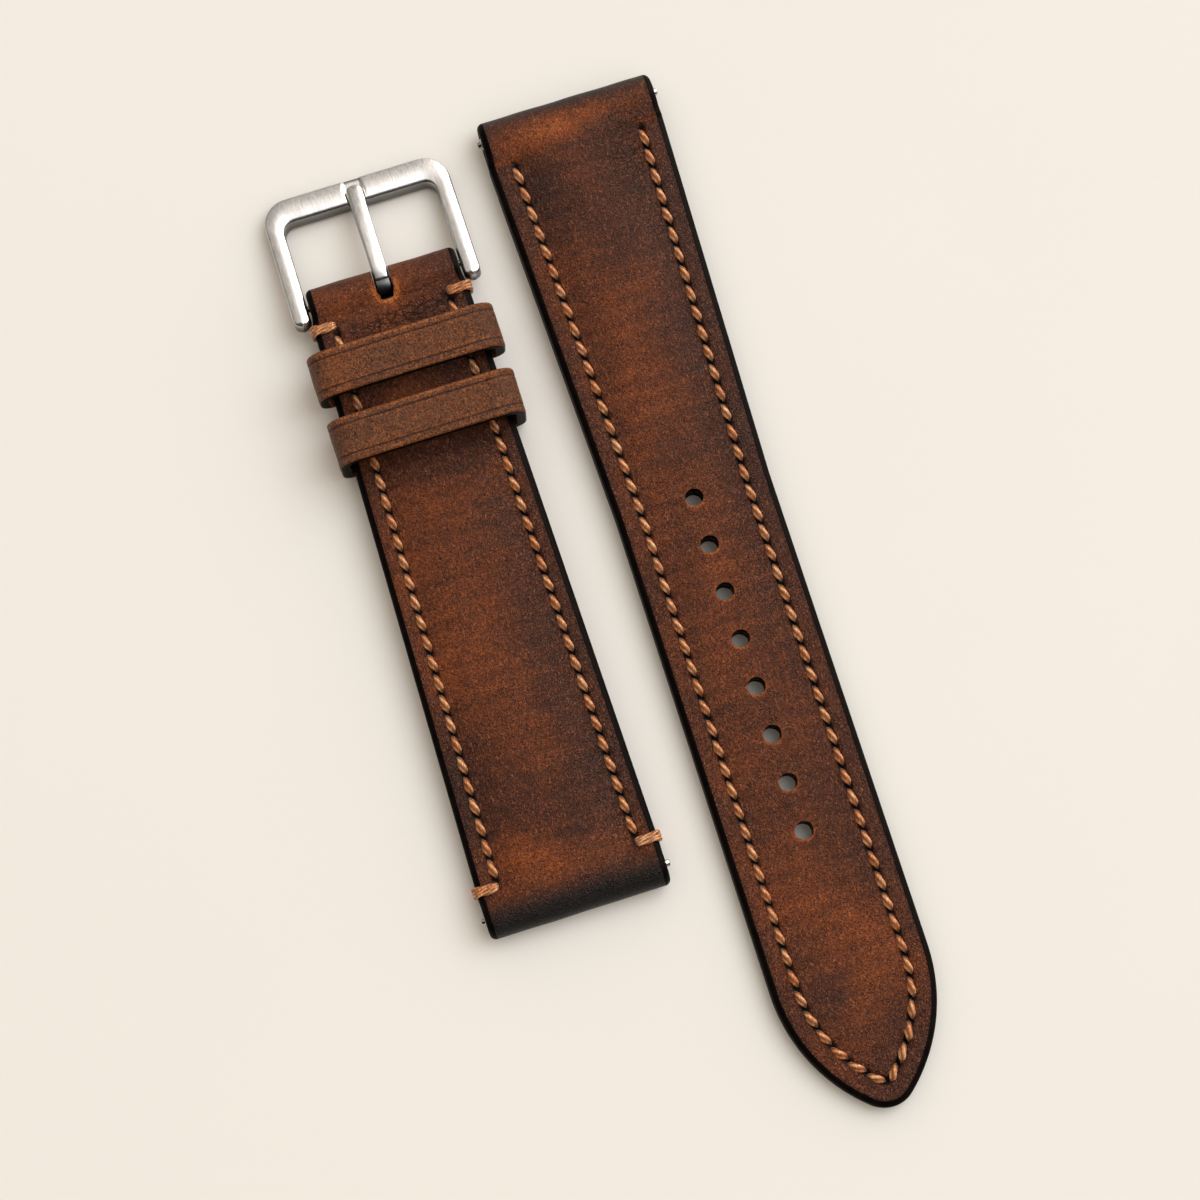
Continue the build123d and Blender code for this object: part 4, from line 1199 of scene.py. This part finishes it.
for side, matrix, skin, stitched, margin in (
    ("short", short_matrix, short_skin, SHORT_STITCHES, short_margin),
    ("long", long_matrix, long_skin, long_stitches, long_margin),
):
    for face, stitch, seams in (
        ("top", top_stitch, seam_lines(skin, stitched, margin)),
        ("under", under_stitch, seam_lines(skin, stitched)),
    ):
        place = (matrix, f"{side}_strap", "thread", f"{side}_{face}_stitches")
        sew(f"{side}_linen_{face}_stitches", seams, stitch, place)
bpy.data.objects.remove(top_stitch)
bpy.data.objects.remove(under_stitch)


# Bar tacks: three turns of thread over each edge


def tack_path(half, top):
    """Section of one turn of a tack: up out of its hole, over the edge and back under the strap."""
    inner = half - SHORT_INSET
    bend = 0.45
    lift = TACK_THREAD * 0.75
    path = [(inner, top - 0.35), (inner + 0.02, top - 0.05), (inner + 0.16, top + lift)]
    path += [(x, top + lift + 0.02) for x in np.linspace(inner + 0.45, half - bend, 5)]
    path += [
        (half - bend + (bend + lift) * sin(angle), top - bend + (bend + lift) * cos(angle))
        for angle in np.linspace(0.3, pi / 2, 5)
    ]
    path += [(half + lift, z) for z in np.linspace(top - bend - 0.3, 0.45, 4)]
    return path + [(half + lift - 0.1, 0.22), (half - 0.2, 0.17), (half - 1.2, 0.17), (inner, 0.2)]


def bar_tacks():
    """Three turns of thread over each edge, at both ends of the rows of stitches."""
    points, faces, ply, ends = [], [], [], []
    around = 9
    for run, side, turn in product(TACK_RUNS, (1, -1), (-1, 0, 1)):
        path = tack_path(float(short_half(run)) + GLUE_LINE, float(short_margin(run)) + GLUE_LINE)
        count = len(path)
        order = np.arange(count)
        squeeze = np.interp(order, (0, 2, 5, count - 3, count), (0.2, 0.6, 1, 1, 0.5))
        y = -run + turn * TACK_PITCH * squeeze + 0.06 * np.sin(order * 0.7 + 2.1 * turn + run)
        line = [(side * x, y[index], z) for index, (x, z) in enumerate(path)]
        more, shape, steps = tube(line, TACK_THREAD * (1 - 0.06 * abs(turn)), around, 1.6, 3, 0.08)
        faces.extend(tuple(point + len(points) for point in face) for face in shape)
        points.extend(more)
        angles = np.tile(np.linspace(0, 2 * pi, around, endpoint=False), count)
        # painted shade between the plies and where each turn comes up out of its hole
        ply.extend(0.5 - 0.5 * np.cos(3 * angles))
        ends.extend(0.75 * (1 - smooth(steps, 0.1, 0.5)))
    place = (short_matrix, "short_strap", "thread", "short_bar_tacks")
    return add_piece(
        "short_linen_bar_tacks", points, faces, place, (linen,), marks={"ply": ply, "thread_end_shade": ends},
    )


bar_tacks()


# Keepers


def loop_path(half, bottom, top, upper, lower, crowned):
    """Outline of a keeper's loop from its lower right round: place and outward way of each point."""
    corners = (
        (half - lower, bottom + lower, lower, -90), (half - upper, top - upper, upper, 0),
        (-(half - upper), top - upper, upper, 90), (-(half - lower), bottom + lower, lower, 180),
    )
    rows = []
    for index, (x, z, radius, first) in enumerate(corners):
        for angle in np.radians(np.linspace(first, first + 90, 10)):
            rows.append((x + radius * cos(angle), z + radius * sin(angle), cos(angle), sin(angle)))
        next_x, next_z, next_radius, next_first = corners[(index + 1) % 4]
        start = np.array(rows[-1][:2])
        way = np.array(rows[-1][2:])
        way_in = radians(next_first)
        end = np.array((next_x + next_radius * cos(way_in), next_z + next_radius * sin(way_in)))
        count = max(3, int(np.linalg.norm(end - start) / 0.7))
        for share in np.linspace(0, 1, count + 1)[1:-1]:
            place = start + (end - start) * share
            rise = crowned * (1 - (2 * share - 1) ** 2) if index == 1 else 0
            rows.append((place[0], place[1] + rise, way[0], way[1]))
    return np.array(rows)


def keeper(name, start, bottom, band, crowned, body, node):
    """Leather loop round the strap, creased along both edges and rubbed pale on its upper edge.

    It starts at a run, its underside lies at bottom and is band thick, and its top is crowned.
    """
    half = KEEPER_WIDTH / 2
    path = loop_path(half, bottom, KEEPER_TOP - crowned, KEEPER_RADIUS, KEEPER_LOWER_RADIUS, crowned)
    thickness = np.where(path[:, 3] < -0.7, band, KEEPER_LEATHER)[:, None]
    across = np.concatenate([KEEPER_LINES, [KEEPER_BAND / 2], KEEPER_BAND - KEEPER_LINES[::-1]])
    to_edge = np.minimum(across, KEEPER_BAND - across)
    round_off = corner_drop(to_edge, KEEPER_RIM_ROUND)
    crease = 0.07 * np.exp(-((to_edge - KEEPER_CREASE) / 0.09) ** 2)
    x, z, out_x, out_z = (column[:, None] for column in path.T)
    run = np.broadcast_to(start + across[None, :], (len(path), len(across)))
    lift = -round_off - crease + hand_worked(np.arctan2(z, x) * 8, run, 2.0) * (round_off < 0.01)
    outer = np.stack([x + out_x * lift, -run, z + out_z * lift], axis=-1)
    sunk = -thickness + 0.5 * np.broadcast_to(corner_drop(to_edge, 0.2), run.shape)
    inner = np.stack([x + out_x * sunk, -run, z + out_z * sunk], axis=-1)
    x = np.broadcast_to(x, run.shape)
    side = smooth(np.abs(x), half - 2.6, half - 0.6)
    lit_line = np.exp(-((to_edge - 1.12) / 0.1) ** 2)
    rub = np.exp(-((across - 0.28) / 0.16) ** 2) + 0.6 * np.exp(-((across - KEEPER_BAND + 0.3) / 0.16) ** 2)
    spots = ((-5.5, 3.2, 4.0, 2.0, 0.08), (2.0, 1.6, 4.0, 2.0, 0.04), (7.5, 1.2, 3.0, 1.5, -0.04))
    patina_and_painted_light = 0.46 - 0.06 * side + 0.34 * rub + 0.2 * lit_line + blots(x, run - start, spots)
    shade = np.broadcast_to(0.8 * np.exp(-((to_edge - KEEPER_CREASE) / 0.1) ** 2), run.shape)
    return add_sheet(
        name, outer, inner, (short_matrix, body, "keeper_leather", node), (keeper_calf, keeper_edge),
        closed=True, edge_columns=1, marks={"patina_and_painted_light": patina_and_painted_light, "shade": shade, "bent": 0 * patina_and_painted_light},
    )


keeper(
    "fixed_calf_keeper", FIXED_KEEPER_START, FIXED_KEEPER_BOTTOM, FIXED_KEEPER_BAND, FIXED_KEEPER_CROWN,
    "short_strap", "fixed_keeper",
)
keeper(
    "free_calf_keeper", FREE_KEEPER_START, FREE_KEEPER_BOTTOM, KEEPER_LEATHER, FREE_KEEPER_CROWN,
    "free_keeper", "free_keeper",
)


# Buckle


def frame_lines():
    """Matching points of the frame's outer and inner edges, from the right arm's end to the left arm's."""
    outer, inner = [], []
    arm_centre = (BUCKLE_OUTER + BUCKLE_INNER) / 2
    arm_half = (BUCKLE_OUTER - BUCKLE_INNER) / 2
    for angle in np.linspace(0, pi / 2, 8):
        step = ARM_END_ROUND * (1 - cos(angle))
        half = arm_half - ARM_END_ROUND + ARM_END_ROUND * sin(angle)
        outer.append((arm_centre + half, -BUCKLE_TAIL + step))
        inner.append((arm_centre - half, -BUCKLE_TAIL + step))
    turn_y = BUCKLE_REACH - BUCKLE_BAR - BUCKLE_INNER_CORNER
    for y in stepped(-BUCKLE_TAIL + ARM_END_ROUND, turn_y, 0.8)[1:]:
        outer.append((BUCKLE_OUTER, y))
        inner.append((BUCKLE_INNER, y))
    corner_x = BUCKLE_INNER - BUCKLE_INNER_CORNER
    outer_x = BUCKLE_OUTER - BUCKLE_CORNER
    outer_y = BUCKLE_REACH - BUCKLE_CORNER
    shares = np.linspace(0, 1, 4)[:-1]
    round_outer = [(BUCKLE_OUTER, turn_y + (outer_y - turn_y) * share) for share in shares]
    round_outer += [
        (outer_x + BUCKLE_CORNER * cos(angle), outer_y + BUCKLE_CORNER * sin(angle))
        for angle in np.linspace(0, pi / 2, 15)
    ]
    round_outer = np.array(round_outer + [(corner_x, BUCKLE_REACH)])
    length = np.concatenate([[0], np.cumsum(np.linalg.norm(np.diff(round_outer, axis=0), axis=1))])
    for share in np.linspace(0, 1, 17)[1:]:
        at = share * length[-1]
        outer.append((np.interp(at, length, round_outer[:, 0]), np.interp(at, length, round_outer[:, 1])))
        angle = share * pi / 2
        x, y = BUCKLE_INNER_CORNER * cos(angle), BUCKLE_INNER_CORNER * sin(angle)
        inner.append((corner_x + x, turn_y + y))
    seat = [2.0, 1.6, 1.4, 1.28, 1.2, 1.14, 1.08, 1.04, 1.0, 0.95, 0.8, 0.4, 0.0]
    for x in list(stepped(corner_x, 2.6, 0.8)[1:]) + seat:
        outer.append((x, BUCKLE_REACH))
        inner.append((x, BUCKLE_REACH - BUCKLE_BAR))
    outer += [(-x, y) for x, y in reversed(outer[:-1])]
    inner += [(-x, y) for x, y in reversed(inner[:-1])]
    return np.array(outer), np.array(inner)


def frame_section(width):
    """Section of the frame for one width: distance from the outer edge and height, anticlockwise."""
    top = BUCKLE_HALF_THICKNESS
    rim = top - BUCKLE_DOME
    round_off = min(BUCKLE_ROUND, 0.45 * width)
    outside = [(0, -top + BUCKLE_FOOT), (0, -0.3), (0, rim - round_off)]
    outside += [
        (round_off * (1 - cos(angle)), rim - round_off * (1 - sin(angle)))
        for angle in np.linspace(0, pi / 2, 7)[1:]
    ]
    middle = []
    for share in np.linspace(0, 1, 9)[1:-1]:
        s = round_off + (width - 2 * round_off) * share
        middle.append((s, top - BUCKLE_DOME * abs(2 * share - 1) ** 2))
    inside = [(width - s, z) for s, z in reversed(outside)]
    foot = [(width - BUCKLE_FOOT, -top), (width / 2, -top), (BUCKLE_FOOT, -top)]
    return np.array(outside + middle + inside + foot)


def buckle_frame():
    """Buckle frame swept between its edge lines, with a seat sunk across the bar for the tang."""
    outer, inner = frame_lines()
    points, shade = [], []
    for index, (out_point, in_point) in enumerate(zip(outer, inner)):
        width = np.linalg.norm(in_point - out_point)
        section = frame_section(width)
        way = (in_point - out_point) / width
        on_bar = out_point[1] > BUCKLE_REACH - 0.01 and abs(out_point[0]) < 2.5
        away = abs(out_point[0])
        sink = 0.6 * (1 - float(smooth(away, 0.96, 1.06))) + 0.1 * (1 - float(smooth(away, 1.04, 1.35)))
        from_end = min(index, len(outer) - 1 - index)
        softer = 0.22 * (1 - smooth(from_end, 0, 5))
        for s, z in section:
            if on_bar and sink > 0:
                z = min(z, max(SEAT_FLOOR, BUCKLE_HALF_THICKNESS - sink))
            from_rim = min(s, width - s)
            shade.append(float(1 - smooth(from_rim, 0.05, 0.5)) * float(1 - smooth(z, 0.35, 0.95)) * 0.9)
            z = z * (1 - softer)
            points.append((*(out_point + way * s), z))
    faces = ring_faces(len(outer), len(section))
    place = (buckle_matrix, "buckle_frame", "buckle_steel", "buckle_frame")
    return add_piece("buckle_steel_frame", points, faces, place, (buckle_steel,), marks={"shade": shade})


def arc_height(y, first, middle, last):
    """Height at y of the circle through three (y, z) points."""
    (ay, az), (by, bz), (cy, cz) = first, middle, last
    d = 2 * (ay * (bz - cz) + by * (cz - az) + cy * (az - bz))
    centre_y = ((ay**2 + az**2) * (bz - cz) + (by**2 + bz**2) * (cz - az) + (cy**2 + cz**2) * (az - bz)) / d
    centre_z = ((ay**2 + az**2) * (cy - by) + (by**2 + bz**2) * (ay - cy) + (cy**2 + cz**2) * (by - ay)) / d
    reach = hypot(ay - centre_y, az - centre_z)
    return centre_z + sqrt(reach**2 - (y - centre_y) ** 2)


def tang():
    """Tang bent from flat bar: a slightly arched prong with a rounded tip, and an eye round the bar."""
    around = 24
    angles = np.linspace(0, 2 * pi, around, endpoint=False)
    tip_start_y = TANG_TIP - TANG_TIP_ROUND
    rows = list(np.linspace(0.2, tip_start_y, 30))
    rows += [TANG_TIP - TANG_TIP_ROUND * (1 - sin(angle)) for angle in np.linspace(0, pi / 2, 9)[1:]]
    rows[-1] -= 0.004
    seat = (TANG_SEAT_START, SEAT_FLOOR + 0.03)
    points = []
    for y in rows:
        top = arc_height(y, (0, TANG_EYE), (TANG_TIP / 2, TANG_MIDDLE_TOP), (TANG_TIP, TANG_TIP_TOP))
        base = seat[1] if y > seat[0] else arc_height(y, seat, (TANG_TIP / 2, TANG_MIDDLE_BASE), (0, 0))
        base = max(base, sqrt(max((TANG_BORE + 0.03) ** 2 - y ** 2, 0)))
        past = max(0.0, y - tip_start_y) / TANG_TIP_ROUND
        narrow = sqrt(max(1 - past**2, 0.0))
        half = TANG_WIDTH / 2 * (0.12 + 0.88 * narrow)
        top -= 0.3 * (1 - narrow)
        base += 0.16 * (1 - narrow)
        middle = (top + base) / 2
        rise = (top - base) / 2
        for angle in angles:
            across = half * abs(cos(angle)) ** (0.62 if sin(angle) > 0 else 0.42)
            up = rise * abs(sin(angle)) ** 0.62
            points.append((
                across if cos(angle) > 0 else -across, y, middle + (up if sin(angle) > 0 else -up),
            ))
    faces = ring_faces(len(rows), around)
    first = len(points)
    turns = 40
    side = TANG_WIDTH / 2
    rim = 0.2
    ring = [(side, TANG_BORE + 0.06), (side, TANG_EYE - rim)]
    ring += [
        (side - rim * (1 - cos(angle)), TANG_EYE - rim * (1 - sin(angle)))
        for angle in np.linspace(0, pi / 2, 4)[1:]
    ]
    ring += [(-x, r) for x, r in reversed(ring)]
    ring += [(-side + 0.06, TANG_BORE), (side - 0.06, TANG_BORE)]
    shade = [0.6 * (1 - float(smooth(y, 0.6, 1.8))) for _, y, _ in points]
    for turn in np.linspace(0, 2 * pi, turns, endpoint=False):
        points += [(x, r * cos(turn), r * sin(turn)) for x, r in ring]
        shade += [0.9 - 0.3 * float(smooth(cos(turn), -0.2, 0.4))] * len(ring)
    size = len(ring)
    for turn, step in product(range(turns), range(size)):
        here = first + turn * size
        there = first + (turn + 1) % turns * size
        beside = (step + 1) % size
        faces.append((here + step, here + beside, there + beside, there + step))
    place = (buckle_matrix, "buckle_tang", "buckle_steel", "buckle_tang")
    return add_piece("buckle_steel_tang", points, faces, place, (buckle_steel,), marks={"shade": shade})


buckle_frame()
tang()


# Spring bars. Their tubes and the buckle bar's plungers keep the turned shapes of the part and take
# their steel here; the springs are coiled and the lug bars' plungers turned anew.


def bar_spring(bar):
    """Both halves of a bar's spring, each coiled from the bar's middle out to one plunger."""
    low, high = (Vector(corner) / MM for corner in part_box(bar + "_spring"))
    centre = (low + high) / 2
    coil = (high.z - low.z - SPRING_WIRE) / 2
    half = (high.x - low.x - SPRING_WIRE) / 2
    for side, sign in (("left", -1), ("right", 1)):
        turned = np.linspace(0, pi * SPRING_TURNS, 8 * SPRING_TURNS + 1)
        round_wire = np.linspace(0, 2 * pi, 8, endpoint=False)
        reach = coil + SPRING_WIRE / 2 * np.cos(round_wire)[None, :]
        along = turned[:, None] / turned[-1] * half + SPRING_WIRE / 2 * np.sin(round_wire)[None, :]
        points = np.stack([
            sign * along, reach * np.cos(turned)[:, None], sign * reach * np.sin(turned)[:, None],
        ], axis=-1)
        piece = add_piece(
            f"{bar}_wire_spring_{side}", points.reshape(-1, 3), ring_faces(len(turned), len(round_wire)),
            (Matrix.Translation(centre), bar, "spring_wire", bar + "_spring"), (wire_steel,),
        )
        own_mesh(piece)


def lug_plunger(bar, side, sign):
    """Turned plunger of a lug bar: head, shank and a rounded tip that stands out of the leather."""
    low, high = (Vector(corner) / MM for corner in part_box(bar + "_tube"))
    # distance from the bar's middle and radius: foot in the tube, shoulder, shank and rounded tip
    profile = (
        (7.6, 0.6), (7.66, 0.74), (9.12, 0.74), (9.17, 0.66), (9.18, 0.64), (9.9, 0.64), (9.94, 0.6),
        (9.95, 0.42), (9.98, 0.4), (10.2, 0.4), (10.3, 0.36), (10.37, 0.27), (10.4, 0.12),
    )
    around = 24
    points = [
        (sign * along, radius * cos(2 * pi * step / around), radius * sin(2 * pi * step / around))
        for along, radius in profile for step in range(around)
    ]
    plunger = f"{bar}_plunger_{side}"
    place = (Matrix.Translation((low + high) / 2), plunger, "spring_bar_steel", plunger)
    faces = ring_faces(len(profile), around)
    add_piece(f"{bar}_turned_plunger_{side}", points, faces, place, (tip_steel,))


for bar, (side, sign) in product(("short_lug_bar", "long_lug_bar"), (("left", -1), ("right", 1))):
    lug_plunger(bar, side, sign)

for name, node in frame["nodes"].items():
    if name.endswith("_tube") or "_plunger_" in name:
        node.data.materials.clear()
        node.data.materials.append(bar_steel)

bar_spring("buckle_bar")
bar_spring("short_lug_bar")
bar_spring("long_lug_bar")


# Table, light and camera

FLOOR_TONES = ("#f3ece1", "#f4ede2")
FLOOR_REACH = 900 * MM
FLOOR_SINK = 0.02 * MM
VIEW_TARGET = Vector((-0.33, 3.04, 0)) * MM
VIEW_TURN = radians(-17.68)
VIEW_HEIGHT = radians(80)
VIEW_DISTANCE = 297 * MM
LENS = 82.84
# the lamp, in metres and watts: its way to the right, up and back from the strap
LAMP_WAY = (0.5, 0.5, 0.95)
LAMP_DISTANCE = 1.6
LAMP_SIZE = 1.3
LAMP_WATTS = 13.4
LAMP_TINT = "#e0efff"


def table_top():
    """Matt cream card under the strap."""
    material, tree, place = new_material("card_matt_cream")
    # paper clouds 40 mm wide
    cloud = add(tree, "TexNoise", {"Vector": place, "Scale": 0.025 / MM, "Detail": 2.0})
    colour = add(tree, "ValToRGB", {"Fac": cloud}, stops=tuple(zip((0.3, 0.7), FLOOR_TONES)))
    shader = add(tree, "BsdfPrincipled", {
        "Base Color": colour, "Roughness": 0.9, "IOR": 1.4, "Specular IOR Level": 0.2,
    })
    add(tree, "OutputMaterial", {"Surface": shader})
    mesh = bpy.data.meshes.new("table")
    signs = ((-1, -1), (1, -1), (1, 1), (-1, 1))
    corners = [(x * FLOOR_REACH, y * FLOOR_REACH, -FLOOR_SINK) for x, y in signs]
    mesh.from_pydata(corners, [], [(0, 1, 2, 3)])
    mesh.materials.append(material)
    new_object("table", mesh)


def view_axes():
    """Right, up and back of the camera."""
    back = Vector((
        sin(VIEW_TURN) * cos(VIEW_HEIGHT), -cos(VIEW_TURN) * cos(VIEW_HEIGHT), sin(VIEW_HEIGHT),
    ))
    right = Vector((cos(VIEW_TURN), sin(VIEW_TURN), 0))
    return right, back.cross(right), back


def add_camera():
    """Camera nearly overhead, turned a little from the straps' length."""
    right, up, back = view_axes()
    camera = bpy.data.cameras.new("camera")
    camera.lens = LENS
    camera.sensor_width = 36
    camera.clip_start = 0.01
    shot = new_object("camera", camera)
    turned = Matrix((right, up, back)).transposed().to_4x4()
    shot.matrix_world = Matrix.Translation(VIEW_TARGET + back * VIEW_DISTANCE) @ turned
    bpy.context.scene.camera = shot


def add_lamp():
    """Soft square lamp that faces the strap from the camera's upper right."""
    lamp = bpy.data.lights.new("window", "AREA")
    lamp.shape = "RECTANGLE"
    lamp.size = lamp.size_y = LAMP_SIZE
    lamp.energy = LAMP_WATTS
    lamp.color = to_linear(LAMP_TINT)[:3]
    way = sum((axis * amount for axis, amount in zip(view_axes(), LAMP_WAY)), Vector())
    place = way.normalized() * LAMP_DISTANCE
    stand = new_object("window", lamp)
    stand.location = VIEW_TARGET + place
    stand.rotation_euler = (-place).to_track_quat("-Z", "Y").to_euler()


def add_sky():
    """Plain pale surroundings, a little darker at the lower left."""
    world = bpy.data.worlds.new("studio")
    bpy.context.scene.world = world
    world.use_nodes = True
    world.cycles.sampling_method = "NONE"
    tree = world.node_tree
    tree.nodes.clear()
    way = add(tree, "TexCoord").outputs["Generated"]
    lit = add(tree, "VectorMath", {0: way, 1: (0.36, 0.22, 0.9)}, operation="DOT_PRODUCT")
    level = add(tree, "MapRange", {
        "Value": lit, "From Min": 0.1, "From Max": 0.95, "To Min": 0.18, "To Max": 1.09,
    })
    # what shines sees two soft boxes, one ahead of the buckle and one on the right
    sides = add(tree, "SeparateXYZ", {0: way})
    forward = add(tree, "MapRange", {"Value": sides.outputs["Y"], "From Min": -1.0})
    ahead = add(
        tree, "ValToRGB", {"Fac": forward},
        stops=((0.38, 0.05), (0.5, 0.2), (0.58, 0.6), (0.67, 0.9), (0.78, 0.9), (0.86, 0.4)),
    )
    beside = add(tree, "ValToRGB", {"Fac": sides.outputs["X"]}, stops=((0.17, 0.0), (0.46, 1.0)))
    boxes = add(tree, "Math", {0: beside, 1: 8.5, 2: 1.0}, operation="MULTIPLY_ADD")
    boxes = add(tree, "Math", {0: boxes, 1: ahead}, operation="MULTIPLY")
    seen = add(tree, "LightPath").outputs["Is Glossy Ray"]
    dimmed = add(tree, "Mix", {0: seen, 2: 1.0, 3: boxes}, data_type="FLOAT")
    level = add(tree, "Math", {0: level, 1: dimmed}, operation="MULTIPLY")
    glow = add(tree, "Background", {"Color": to_linear("#fff6ec"), "Strength": level})
    add(tree, "OutputWorld", {"Surface": glow})


table_top()
add_camera()
add_sky()
add_lamp()

bpy.context.scene.view_settings.view_transform = "Standard"
